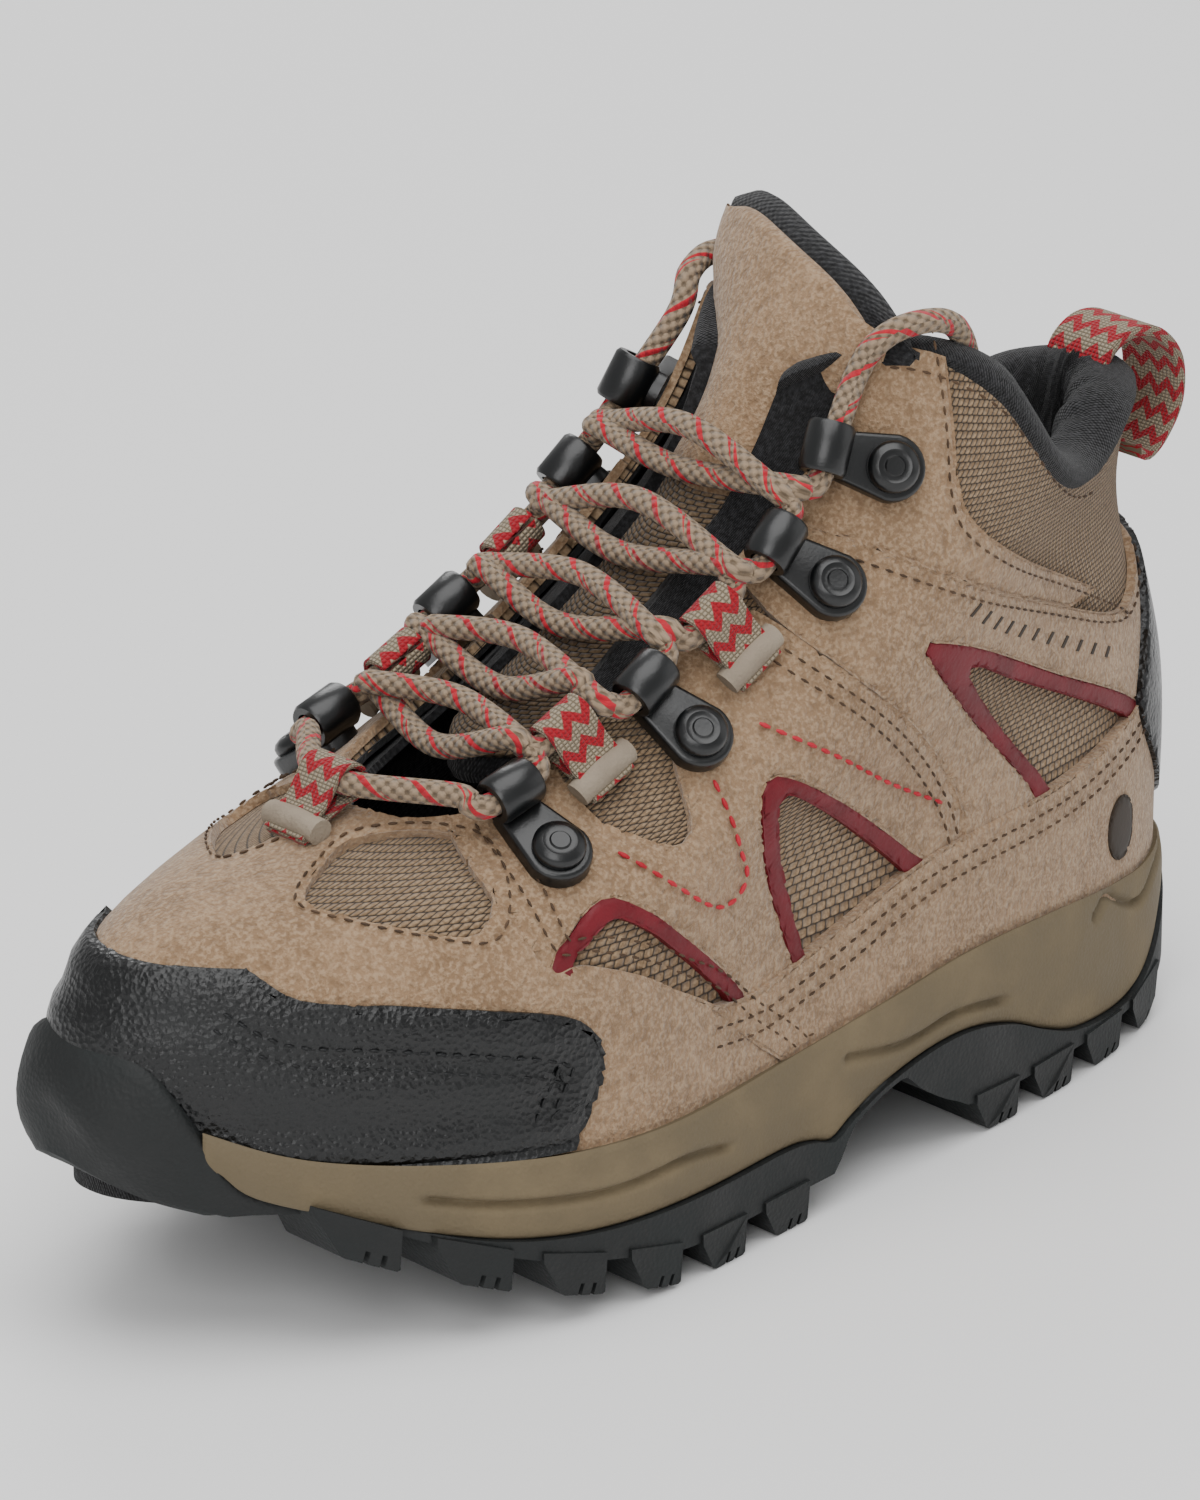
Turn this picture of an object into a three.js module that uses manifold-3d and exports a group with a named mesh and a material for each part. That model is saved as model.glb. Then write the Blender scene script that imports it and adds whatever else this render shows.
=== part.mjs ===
// A left mid-height hiking boot in millimetres: toe at -X, heel at +X, outer side at -Y, +Z up.
// Every layer of the upper is wrapped on one foot form (the last) and trimmed with side-view pattern pieces.
// The origin is the middle of the whole boot's bounding box in X and Y, on the ground.
import * as THREE from "three";
import { mergeVertices } from "three/addons/utils/BufferGeometryUtils.js";
import Module from "manifold-3d";

const wasm = await Module();
wasm.setup();

// ---------------------------------------------------------------- driving dimensions (mm)
const FORM_LENGTH = 244; // toe to heel of the foot form
const FORM_WIDTH = 90; // across the ball of the foot
const FORM_HEIGHT = 160; // ground to the top of the tongue
const FIT_GAP = 0.3; // clearance between pieces that touch
const SEAM_GAP = 0.4; // between two panels that meet edge to edge
const MESH_THICKNESS = 1.3;
const FOAM_THICKNESS = 1.3;
const LINING_THICKNESS = 1.4;
const SUEDE_THICKNESS = 1.5;
const TRIM_THICKNESS = 2.1;
const TOE_CAP_THICKNESS = 2.7;
const COLLAR_PADDING = 4.5;
const SOLE_OVERHANG = 3.6; // how far the midsole stands out past the upper
const OUTSOLE_OVERHANG = 4.6;
const BUMPER_THICKNESS = 4.6; // extra rubber in front of the toe
const LUG_DEPTH = 4.2;
const LUG_GAP = 5.5;
const LUG_PITCH = 17.5;
const BOARD_THICKNESS = 2;
const FOOTBED_THICKNESS = 4.5;
const INSOLE_CLEARANCE = 1; // round the board, inside the lining
const SHANK_WIDTH = 16;
const SHANK_THICKNESS = 1.2;
const LACE_DIAMETER = 4.4;
const LACE_CLEARANCE = 0.4; // round the lace in each hook and webbing loop
const HOOK_WIDTH = 12;
const HOOK_EYE_WIDTH = 9; // length of the lace tunnel at the hook's tip
const HOOK_WALL = 1.7;
const HOOK_PITCH = 14; // rivet to lace tunnel
const RIVET_CAP_DIAMETER = 9.4;
const RIVET_SHANK_DIAMETER = 3.4;
const RIVET_CAP_HEIGHT = 2.2;
const WEBBING_THICKNESS = 1.2;
const WEBBING_LOOP_WIDTH = 9;
const PULL_WEBBING_WIDTH = 15;
const PULL_WEBBING_THICKNESS = 2;
const TONGUE_PAD_THICKNESS = 5;
const TONGUE_COVER_THICKNESS = 1.2;
const TONGUE_CLEARANCE = 0.6;
const AGLET_LENGTH = 20;
const STRAND_CLEARANCE = 1.9; // lower strand over the tongue, where two strands cross
const STRAND_GAP = 0.6; // between the two strands

// The pattern is drawn for this size and graded to the driving sizes.
const PATTERN_LENGTH = 244;
const PATTERN_WIDTH = 90;
const PATTERN_HEIGHT = 160;
const GRADE_X = FORM_LENGTH / PATTERN_LENGTH;
const GRADE_Y = FORM_WIDTH / PATTERN_WIDTH;
const GRADE_Z = FORM_HEIGHT / PATTERN_HEIGHT;
const side = (x, z) => new THREE.Vector2(x * GRADE_X, z * GRADE_Z);
const sides = (points) => points.map(([x, z]) => side(x, z));

// Layers of the upper as distances outwards from the form.
const MESH = { inner: -MESH_THICKNESS, outer: 0 };
const FOAM = { outer: MESH.inner - FIT_GAP, inner: MESH.inner - FIT_GAP - FOAM_THICKNESS };
const LINING = { outer: FOAM.inner - FIT_GAP, inner: FOAM.inner - FIT_GAP - LINING_THICKNESS };
const PADDING = { outer: LINING.outer, inner: LINING.outer - COLLAR_PADDING };
const SUEDE = { inner: FIT_GAP, outer: FIT_GAP + SUEDE_THICKNESS };
const TRIM = { inner: FIT_GAP, outer: FIT_GAP + TRIM_THICKNESS };
const TOE_CAP = { inner: FIT_GAP, outer: FIT_GAP + TOE_CAP_THICKNESS };
const RING_STEPS = 32;
const HEIGHT_STEPS = 6;
const SKIRT_DEPTH = 12; // how far a wrapped layer runs on below the form before it is trimmed
const FAR = 400; // reaches past the whole boot

// ---------------------------------------------------------------- the foot form
// Each station is a slice that runs from the instep or toe (front) to the heel (back) in side view. Its five
// half widths, at even steps from front to back, are given for the outer and the inner side of the foot.
const station = (front, back, outer, inner, skew, fullness) =>
  ({ front, back, outer, inner, skew, fullness });
const STATIONS = [
  station([-112, 30], [132, 24], [34, 47, 39, 35, 33], [32, 44, 34, 33, 33], 9, 2.3),
  station([-104, 65], [132, 62], [30, 43, 36, 33, 31], [28, 41, 34, 32, 31], 7, 2.3),
  station([-58, 81], [128, 84], [30, 38, 36, 31, 28], [27, 37, 33, 30, 28], 3, 2.2),
  station([-17, 101], [125, 102], [28, 35, 35, 29, 25], [26, 34, 33, 29, 25], 0, 2.1),
  station([20, 128], [127, 116], [27, 33, 33, 29, 24], [26, 32, 33, 29, 25], 0, 2),
  station([40, 160], [131, 128], [26, 32, 33, 29, 24], [26, 32, 33, 29, 24], 0, 2),
];

/** Smooth value through evenly spaced samples, at 0..1. */
function through(samples, at) {
  const last = samples.length - 1;
  const place = THREE.MathUtils.clamp(at, 0, 1) * last;
  const i = Math.min(Math.floor(place), last - 1);
  const slope = (j) => {
    const rise = samples[Math.min(j + 1, last)] - samples[Math.max(j - 1, 0)];
    return rise / (j > 0 && j < last ? 2 : 1);
  };
  const s = place - i;
  const rise = samples[i + 1] - samples[i];
  const bend = slope(i) * (s ** 3 - 2 * s ** 2 + s) + slope(i + 1) * (s ** 3 - s ** 2);
  return samples[i] + rise * (3 * s ** 2 - 2 * s ** 3) + bend;
}

/** The foot form: girth angle 0 is the middle of the toe and instep, +90 the outer side and 180 the heel. */
class FootForm {
  /** A value of the stations at height 0..1. */
  level(read, height) {
    return through(STATIONS.map(read), height);
  }

  /** Front or back end of the slice at a height, in side view. */
  end(name, height) {
    return side(this.level((s) => s[name][0], height), this.level((s) => s[name][1], height));
  }

  /** Point on the form at a girth angle in degrees and a height of 0..1. */
  surface(angle, height) {
    const turn = THREE.MathUtils.degToRad(THREE.MathUtils.euclideanModulo(angle + 180, 360) - 180);
    const along = (1 - Math.cos(turn)) / 2;
    const sideName = turn >= 0 ? "outer" : "inner";
    const half = through([0, 1, 2, 3, 4].map((i) => this.level((s) => s[sideName][i], height)), along);
    const power = this.level((s) => s.fullness, height);
    const bulge = Math.max(1 - Math.abs(Math.cos(turn)) ** power, 0) ** (1 / power);
    const lean = this.level((s) => s.skew, height) * Math.max(1 - along / 0.4, 0) ** 2;
    const front = this.end("front", height);
    const middle = front.lerp(this.end("back", height), along);
    return new THREE.Vector3(middle.x, (lean - Math.sign(turn) * half * bulge) * GRADE_Y, middle.y);
  }

  /** Outward direction of the form. */
  normal(angle, height) {
    const round = this.surface(angle + 1, height).sub(this.surface(angle - 1, height));
    const above = this.surface(angle, Math.min(height + 0.01, 1));
    const up = above.sub(this.surface(angle, Math.max(height - 0.01, 0)));
    return round.cross(up).normalize();
  }

  /** Point at a distance outwards from the form. */
  at(angle, height, out = 0) {
    return this.surface(angle, height).addScaledVector(this.normal(angle, height), out);
  }

  /** Height of the instep ridge nearest to a point. */
  ridgeHeight(point) {
    const heights = Array.from({ length: 201 }, (_, i) => i / 200);
    const far = (height) => this.end("front", height).distanceTo(new THREE.Vector2(point.x, point.z));
    return heights.reduce((best, height) => (far(height) < far(best) ? height : best));
  }

  /** Middle of the slice at a height. */
  core(height) {
    const middle = this.end("front", height).lerp(this.end("back", height), 0.5);
    return new THREE.Vector3(middle.x, 0, middle.y);
  }

  /** Girth angle and height of a side-view point; the inner side of the foot has the same angle, negative. */
  locate(point) {
    let [low, high] = [0, 1];
    const lies = (height) => {
      const front = this.end("front", height);
      const span = this.end("back", height).sub(front);
      const reach = point.clone().sub(front);
      return { above: span.cross(reach), along: reach.dot(span) / span.lengthSq() };
    };
    for (let i = 0; i < 24; i += 1) {
      const middle = (low + high) / 2;
      if (lies(middle).above > 0) low = middle;
      else high = middle;
    }
    const along = THREE.MathUtils.clamp(lies(low).along, 0, 1);
    return { angle: THREE.MathUtils.radToDeg(Math.acos(1 - 2 * along)), height: low };
  }
}
const form = new FootForm();

// ---------------------------------------------------------------- solids
/** A closed geometry as a manifold solid. */
function solid(geometry) {
  const bare = geometry.clone();
  for (const name of Object.keys(bare.attributes)) {
    if (name !== "position") bare.deleteAttribute(name);
  }
  const merged = mergeVertices(bare, 1e-3);
  return new wasm.Manifold(
    new wasm.Mesh({
      numProp: 3,
      vertProperties: new Float32Array(merged.attributes.position.array),
      triVerts: new Uint32Array(merged.index.array),
    }),
  );
}

/** A solid's surface as a geometry. */
function geometryOf(body) {
  const mesh = body.getMesh();
  const geometry = new THREE.BufferGeometry();
  geometry.setAttribute("position", new THREE.BufferAttribute(new Float32Array(mesh.vertProperties), 3));
  geometry.setIndex(new THREE.BufferAttribute(new Uint32Array(mesh.triVerts), 1));
  geometry.computeVertexNormals();
  return geometry;
}

/** A side-view outline pulled across the boot, from y0 to y1. */
function sidePrism(points, y0 = -FAR, y1 = FAR) {
  const block = new THREE.ExtrudeGeometry(new THREE.Shape(points), { depth: y1 - y0, bevelEnabled: false });
  return solid(block.rotateX(Math.PI / 2).translate(0, y1, 0));
}

/** A plan-view outline pulled upwards, from z0 to z1. */
function planPrism(points, z0 = -FAR, z1 = FAR) {
  const block = new THREE.ExtrudeGeometry(new THREE.Shape(points), { depth: z1 - z0, bevelEnabled: false });
  return solid(block.translate(0, 0, z0));
}

/** A rectangle as an outline, between two corners. */
const rectangle = (x0, y0, x1, y1) =>
  [[x0, y0], [x1, y0], [x1, y1], [x0, y1]].map(([x, y]) => new THREE.Vector2(x, y));

/** A closed outline smoothed through its points. */
function smooth(points, divisions = 2) {
  const corners = points.map((p) => new THREE.Vector3(p.x, p.y, 0));
  const loop = new THREE.CatmullRomCurve3(corners, true, "centripetal");
  const spots = loop.getPoints(points.length * divisions).slice(0, -1);
  return spots.map((p) => new THREE.Vector2(p.x, p.y));
}

/** The narrow strip round a seam line, which parts two panels. */
function seam(line) {
  const half = SEAM_GAP / 2;
  const shifted = (sign) =>
    line.map((p, i) => {
      const way = line[Math.min(i + 1, line.length - 1)].clone().sub(line[Math.max(i - 1, 0)]).normalize();
      return p.clone().add(new THREE.Vector2(-way.y, way.x).multiplyScalar(sign * half));
    });
  return sidePrism([...shifted(1), ...shifted(-1).reverse()]);
}

/** The form grown by a distance, as a closed block carried on straight down below its lowest slice. */
function block(out) {
  const wall = [new THREE.Vector2(0, -1), new THREE.Vector2(1, -1)];
  for (let i = 0; i <= HEIGHT_STEPS; i += 1) wall.push(new THREE.Vector2(1, i / HEIGHT_STEPS));
  wall.push(new THREE.Vector2(0, 1));
  return wrap(new THREE.LatheGeometry(wall, RING_STEPS), (p) => {
    const height = Math.max(p.y, 0);
    const angle = THREE.MathUtils.radToDeg(Math.atan2(p.x, p.z));
    const spot = Math.hypot(p.x, p.z) < 0.5 ? form.core(height) : form.at(angle, height, out);
    return p.y < 0 ? spot.setZ(spot.z - SKIRT_DEPTH) : spot;
  });
}

/** A layer of even thickness all round the form. */
const layer = ({ inner, outer }) => block(outer).subtract(block(inner));

/** The solid of a closed geometry whose vertices are moved to where place(vertex) says. */
function wrap(geometry, place) {
  const spots = geometry.attributes.position;
  const spot = new THREE.Vector3();
  for (let i = 0; i < spots.count; i += 1) {
    spot.fromBufferAttribute(spots, i);
    const moved = place(spot);
    spots.setXYZ(i, moved.x, moved.y, moved.z);
  }
  const body = solid(geometry);
  return body.volume() > 0 ? body : solid(flipped(geometry));
}

/** The same geometry with its faces turned over. */
function flipped(geometry) {
  const index = geometry.index.array;
  for (let i = 0; i < index.length; i += 3) [index[i + 1], index[i + 2]] = [index[i + 2], index[i + 1]];
  return geometry;
}

/** Joins several solids into one. */
const join = (bodies) => bodies.reduce((sum, body) => sum.add(body));
/** Cuts several solids out of one. */
const cut = (body, ...cutters) => cutters.reduce((rest, cutter) => rest.subtract(cutter), body);

// ---------------------------------------------------------------- the object
const boot = new THREE.Group();
const parts = new Map();

const FINISHES = {
  suede: { color: 0xb8956c, roughness: 0.95, metalness: 0 },
  mesh: { color: 0x8f7e6a, roughness: 0.9, metalness: 0 },
  trim: { color: 0xa3202c, roughness: 0.6, metalness: 0 },
  toeCap: { color: 0x1e2224, roughness: 0.5, metalness: 0 },
  rubber: { color: 0x2f3232, roughness: 0.75, metalness: 0 },
  foam: { color: 0x85775f, roughness: 0.8, metalness: 0 },
  nylon: { color: 0x17191a, roughness: 0.35, metalness: 0 },
  lining: { color: 0x1b1b1c, roughness: 0.95, metalness: 0 },
  webbing: { color: 0xb0a58f, roughness: 0.9, metalness: 0 },
  lace: { color: 0xa4977f, roughness: 0.9, metalness: 0 },
  board: { color: 0xcabf9f, roughness: 0.9, metalness: 0 },
  steel: { color: 0x9a9c9e, roughness: 0.35, metalness: 1 },
};

/** Adds a solid to the boot as a named mesh. */
function add(name, body, finish) {
  const mesh = new THREE.Mesh(geometryOf(body), new THREE.MeshStandardMaterial(FINISHES[finish]));
  mesh.name = name;
  boot.add(mesh);
  parts.set(name, mesh);
}

// ---------------------------------------------------------------- sole
/** Outline of the form's lower edge in plan, moved outwards, with extra rubber in front of the toe. */
function footOutline(out, toeExtra = 0) {
  const steps = RING_STEPS;
  const spots = [];
  for (let i = 0; i < steps; i += 1) {
    const angle = (360 * i) / steps;
    const here = form.surface(angle, 0);
    const way = form.surface(angle + 1, 0).sub(form.surface(angle - 1, 0)).setZ(0).normalize();
    const toe = Math.max(0, Math.cos(THREE.MathUtils.degToRad(Math.min(angle, 360 - angle) * 2.6))) ** 2;
    const push = out + (Math.min(angle, 360 - angle) < 35 ? toeExtra * toe : 0);
    spots.push(new THREE.Vector2(here.x + way.y * push, here.y - way.x * push));
  }
  return spots;
}

const FEATHER = sides([[-160, 31.2], [180, 22.8]]); // underside of the upper, from toe to heel
const RAND_TOP = sides([[160, 34], [122, 31.5], [106, 32.5], [82, 35], [57, 36], [33, 34], [3, 31.5],
  [-22, 30.5], [-43, 31], [-64, 32.5], [-82, 34.5], [-93, 37], [-104, 42]]);
const SOLE_LINE = sides([[-101, 34], [-96, 29], [-82, 24], [-71, 20.5], [-61, 18], [-51, 16.5],
  [-37, 15.5], [-12, 15], [6, 15], [13, 14], [18, 12.5], [23, 15], [32, 18.5], [45, 21], [57, 21],
  [69, 18], [80, 13], [90, 9.5], [104, 8], [114, 9], [122, 13], [130, 20.5], [137, 25.5], [160, 27]]);
const GROUND_LINE = sides([[160, 22], [138, 20], [134, 13], [128, 6], [121, 1.6], [112, 0], [62, 0],
  [52, 2.5], [43, 7.5], [36, 13], [30, 13.5], [24, 9], [19, 1.5], [16, 0], [-20, 0], [-37, 3], [-50, 5.6],
  [-59, 8], [-73, 12], [-86, 16.5], [-99, 21.5], [-108, 25], [-115.5, 29], [-120, 36], [-123, 45],
  [-124, 53], [-124, 60]]);
const BUMPER_EDGE = sides([[-122, 62], [-115, 60], [-110, 55], [-106, 47], [-103, 40]]);

/** The room that the upper sits in: the form grown by a distance, above the feather line. */
function upperRoom(out) {
  const above = sidePrism([...FEATHER, new THREE.Vector2(FAR, FAR), new THREE.Vector2(-FAR, FAR)]);
  return block(out + FIT_GAP).intersect(above);
}

/** Transverse and lengthwise grooves that part the outsole's lugs. */
function lugGrooves() {
  const grooves = [];
  const height = LUG_DEPTH * 2;
  const bottomAt = (x) => {
    const line = [...GROUND_LINE].reverse();
    const i = Math.max(line.findIndex((p) => p.x > x), 1);
    const share = (x - line[i - 1].x) / (line[i].x - line[i - 1].x);
    return THREE.MathUtils.lerp(line[i - 1].y, line[i].y, share);
  };
  const bar = (x) => {
    const spot = new THREE.BoxGeometry(LUG_GAP, FAR, height);
    return solid(spot.translate(x, 0, bottomAt(x)));
  };
  for (let x = -92 * GRADE_X; x < 10 * GRADE_X; x += LUG_PITCH) grooves.push(bar(x));
  for (let x = 72 * GRADE_X; x < 112 * GRADE_X; x += LUG_PITCH) grooves.push(bar(x));
  const channel = (from, to, y) => {
    const spot = new THREE.BoxGeometry(to - from, LUG_GAP * 0.8, height);
    return solid(spot.translate((from + to) / 2, y, 0));
  };
  for (const sign of [-1, 1]) {
    grooves.push(channel(-34 * GRADE_X, 30 * GRADE_X, sign * 15 * GRADE_Y));
    grooves.push(channel(50 * GRADE_X, 118 * GRADE_X, sign * 12 * GRADE_Y));
  }
  return grooves;
}

const shankFrom = -12 * GRADE_X;
const shankTo = 88 * GRADE_X;
/** A slab that follows the feather line at a depth below it, in side view. */
function featherSlab(top, bottom, from = -FAR, to = FAR) {
  const slope = (FEATHER[1].y - FEATHER[0].y) / (FEATHER[1].x - FEATHER[0].x);
  const line = (x, drop) => new THREE.Vector2(x, FEATHER[0].y + slope * (x - FEATHER[0].x) + drop);
  return sidePrism([line(from, bottom), line(to, bottom), line(to, top), line(from, top)]);
}

function buildSole() {
  const front = sidePrism(sides([[-200, -20], [-34, -20], [-34, 200], [-200, 200]]));
  const room = upperRoom(SUEDE.outer).add(upperRoom(TOE_CAP.outer).intersect(front));
  const lowered = (line) => line.map((p) => p.clone().add(new THREE.Vector2(0, -FIT_GAP)));
  const shankSlot = featherSlab(1, -SHANK_THICKNESS - 2 * FIT_GAP, shankFrom - FIT_GAP, shankTo + FIT_GAP);
  const slotWidth = SHANK_WIDTH / 2 + FIT_GAP;
  const slotBand = planPrism(rectangle(-FAR, -slotWidth, FAR, slotWidth));
  const middle = planPrism(footOutline(SOLE_OVERHANG)).intersect(sidePrism([...SOLE_LINE, ...RAND_TOP]));
  add("midsole", cut(middle, room, shankSlot.intersect(slotBand)), "foam");

  const treadSide = sidePrism([...BUMPER_EDGE, ...lowered(SOLE_LINE), ...GROUND_LINE]);
  const tread = planPrism(footOutline(OUTSOLE_OVERHANG, BUMPER_THICKNESS)).intersect(treadSide);
  const midsoleSide = sidePrism([...SOLE_LINE, ...RAND_TOP]);
  add("outsole", cut(tread, room, midsoleSide, ...lugGrooves()), "rubber");

  const halfShank = SHANK_WIDTH / 2;
  const shankBand = planPrism(rectangle(-FAR, -halfShank, FAR, halfShank));
  const shank = featherSlab(-FIT_GAP, -FIT_GAP - SHANK_THICKNESS, shankFrom, shankTo).intersect(shankBand);
  add("shank", shank, "steel");

  const inside = planPrism(footOutline(LINING.inner - INSOLE_CLEARANCE));
  const boardTop = BOARD_THICKNESS + FIT_GAP;
  add("insole_board", featherSlab(boardTop, FIT_GAP).intersect(inside), "board");
  const bedBase = boardTop + FIT_GAP;
  const bed = planPrism(footOutline(LINING.inner - 1.6 * INSOLE_CLEARANCE));
  add("footbed", featherSlab(bedBase + FOOTBED_THICKNESS, bedBase).intersect(bed), "lining");
}

// ---------------------------------------------------------------- pattern pieces of the upper (side view)
const COLLAR_LINE = sides([[20, 170], [30, 142], [36, 143], [44, 146.5], [52, 147], [60, 143.5],
  [68, 137], [74, 129], [80, 121.5], [87, 116], [94, 113], [101, 113], [108, 115.5], [116, 119],
  [126, 120.5], [170, 120.5]]);
const FOXING_LINE = sides([[-12, 46.5], [0, 45.5], [12, 47.5], [28, 51.5], [44, 55.5], [60, 57],
  [85, 57.5], [100, 59], [114, 62], [150, 74]]);
const VAMP_SEAM = sides([[-44, 98], [-46, 84], [-50, 74], [-48, 63], [-40, 61.5], [-29, 57], [-21, 52],
  [-12, 46.5], [-3, 38], [8, 29], [14, 12]]);
const QUARTER_SEAM = sides([[4, 116], [16, 106], [23, 99], [36, 88], [46, 78.5], [52, 71], [56, 64],
  [58, 57]]);
const QUARTER_TOP = sides([[14, 128], [27, 120], [36, 115.5], [55, 106], [84, 92.5], [105, 83.5],
  [114, 81.5], [121, 84.5], [127, 91], [150, 108]]);
const MESH_BORDER = sides([[58, 160], [57, 135], [56, 123], [58, 116], [68, 108], [92, 94.5], [110, 84.5],
  [114, 81.5]]);
const TOE_CAP_SHAPE = sides([[-150, 10], [-150, 110], [-74, 90], [-84, 72], [-91, 66], [-85, 61.5],
  [-70, 59.5], [-48, 55], [-40, 49], [-40, 39], [-46, 10]]);
const HEEL_CAP_SHAPE = sides([[160, 101], [130, 98], [124, 84], [118, 71], [115, 63], [117, 57],
  [123, 48], [130, 38], [134, 34], [160, 33]]);
const VAMP_WINDOW = [[-76, -10], [-69, -6.5], [-60, -6], [-47, -18], [-49, -27], [-56, -31], [-66, -24],
  [-74, -15]];
const FRONT_WINDOW = {
  outer: [[-46.5, 60.5], [-41, 67.5], [-34, 71], [-28.5, 69.5], [-20, 63], [-3, 45.5], [-6, 36], [-40, 36]],
  inner: [[-43, 60], [-38, 65.8], [-33, 68], [-29, 66.5], [-22, 61], [-7, 45.5], [-9, 36], [-40, 36]],
};
const MIDDLE_WINDOW = {
  outer: [[11, 46.5], [5.5, 62], [2.5, 75], [4.5, 81.5], [9.5, 82], [24, 73.5], [42.5, 58.5], [47, 53],
    [40, 40], [14, 40]],
  inner: [[14, 46.5], [9, 64], [6.5, 75], [7.5, 78.5], [11, 78.5], [23, 70.5], [39.5, 56.5], [42, 52],
    [38, 40], [16, 40]],
};
const REAR_WINDOW = {
  outer: [[44, 96], [47, 97], [60, 92], [84, 79.5], [116, 62.5], [120, 50], [80, 50], [78.5, 58],
    [67, 70.5], [52, 86]],
  inner: [[57, 87.5], [60, 88.5], [72, 82], [112, 61], [116, 50], [86, 50], [83, 58], [70, 72]],
};
const WEDGE_FRONT = sides([[-27, 83], [-24, 100], [-6, 100], [-10, 86], [-12, 78], [-16, 76], [-22, 78]]);
const WEDGE_REAR = sides([[2, 96], [-2, 112], [12, 118], [17, 106], [24, 98.5], [36, 87.5], [48.5, 74],
  [30, 84.5], [12, 92]]);
const THROAT_PLAN = [[-55, 0], [-53, 7], [-47, 13], [-38, 16.5], [-20, 17.5], [10, 18], [40, 19], [90, 19]];
const THROAT_BAND = sides([[-60, 60], [-60, 120], [0, 200], [75, 200], [75, 140], [44, 112], [5, 82],
  [-25, 66]]);

const belowCollar = sidePrism([...COLLAR_LINE, new THREE.Vector2(FAR, -FAR), new THREE.Vector2(-FAR, -FAR),
  new THREE.Vector2(-FAR, FAR)]);
const throatHalf = THROAT_PLAN.map(([x, y]) => new THREE.Vector2(x * GRADE_X, y * GRADE_Y));
const throatMirror = throatHalf.slice(1).map((p) => new THREE.Vector2(p.x, -p.y)).reverse();
const throat = planPrism([...throatHalf, ...throatMirror].reverse()).intersect(sidePrism(THROAT_BAND));
const HALVES = {
  outer: planPrism(rectangle(-FAR, -FAR, FAR, -FIT_GAP / 2)),
  inner: planPrism(rectangle(-FAR, FIT_GAP / 2, FAR, FAR)),
};

/** Region of the side view on one side of a seam line, closed far away through the given corners. */
const beyond = (line, ...corners) =>
  sidePrism([...line, ...corners.map(([x, z]) => new THREE.Vector2(x, z))]);
const FRONT_OF_VAMP_SEAM = () => beyond(VAMP_SEAM, [14, -FAR], [-FAR, -FAR], [-FAR, FAR], [-44, FAR]);
const BELOW_FOXING = () => beyond(FOXING_LINE, [FAR, 80], [FAR, -FAR], [-40, -FAR], [-40, 46]);
const ABOVE_QUARTER_TOP = () => beyond(QUARTER_TOP, [FAR, 150], [FAR, FAR], [-FAR, FAR], [-FAR, 128]);
const BEHIND_QUARTER_SEAM = () => beyond(QUARTER_SEAM, [58, -FAR], [FAR, -FAR], [FAR, FAR], [4, FAR]);

const featherTop = FEATHER.map((p) => p.clone().setY(p.y + FIT_GAP));
const aboveFeather = sidePrism([...featherTop, new THREE.Vector2(FAR, FAR), new THREE.Vector2(-FAR, FAR)]);

/** A full layer trimmed to the lower edge, the collar and the tongue opening. */
const trimmed = (thickness) => cut(layer(thickness).intersect(belowCollar).intersect(aboveFeather), throat);

function buildLinings() {
  const inside = trimmed(LINING);
  const ankle = sidePrism(sides([[78, 92], [170, 80], [170, 200], [78, 200]]));
  const ankleRoom = sidePrism(sides([[77.6, 91.6], [170, 79.6], [170, 200], [77.6, 200]]));
  add("lining_bootie", cut(inside, ankleRoom), "lining");
  add("collar_padding", trimmed(PADDING).intersect(ankle), "lining");
  const filling = trimmed(FOAM);
  const puff = sidePrism(sides([[-160, 0], [-74, 0], [-70, 40], [-80, 110], [-160, 110]]));
  const counter = sidePrism(sides([[170, 0], [70, 0], [78, 50], [100, 78], [170, 82]]));
  const foamBand = sidePrism(sides([[-73.6, 0], [69.6, 0], [77.6, 50.4], [99.8, 78.5], [170, 82.5],
    [170, 200], [-60, 200], [-79.4, 110], [-69.4, 40]]));
  add("toe_puff", filling.intersect(puff), "board");
  add("heel_counter", filling.intersect(counter), "board");
  const back = planPrism(rectangle(-62 * GRADE_X, -FAR, FAR, FAR));
  for (const [name, half] of Object.entries(HALVES)) {
    add(`ankle_foam_${name}`, filling.intersect(foamBand).intersect(half).intersect(back), "foam");
  }
}

// ---------------------------------------------------------------- hooks and rivets
const EYE_RADIUS = LACE_DIAMETER / 2 + LACE_CLEARANCE;
const OCTAGON = 1 / Math.cos(Math.PI / 8); // corner radius of an octagon round a circle
const HOOK_EYE_OUTER = EYE_RADIUS + HOOK_WALL;
const HOOK_PLATE = 2;
const WEB_EYE_OUTER = EYE_RADIUS + WEBBING_THICKNESS;
const WEB_PITCH = 8; // webbing loop's root to its eye
const WEB_ROLL = 2; // radius of the rolled root
const SEAT_LIFT = 1.5; // a straight plate has to clear the hollow of the instep
const HOOK_STATIONS = [
  { name: "lower", rivet: [-35, 75], tip: [-37, 84] },
  { name: "middle", rivet: [-1, 88], tip: [-8, 98.5] },
  { name: "upper", rivet: [30, 108.5], tip: [21.5, 116.5] },
  { name: "top", rivet: [46, 126.5], tip: [35.5, 130.5], open: true },
];
const WEB_STATIONS = [
  { name: "lower", base: [-20.5, 85.5], tip: [-23.5, 92.5] },
  { name: "upper", base: [11.5, 99], tip: [6.5, 108] },
];
const VAMP_LOOP = { base: [-64, 79], tip: [-55, 82.6] };

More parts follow.
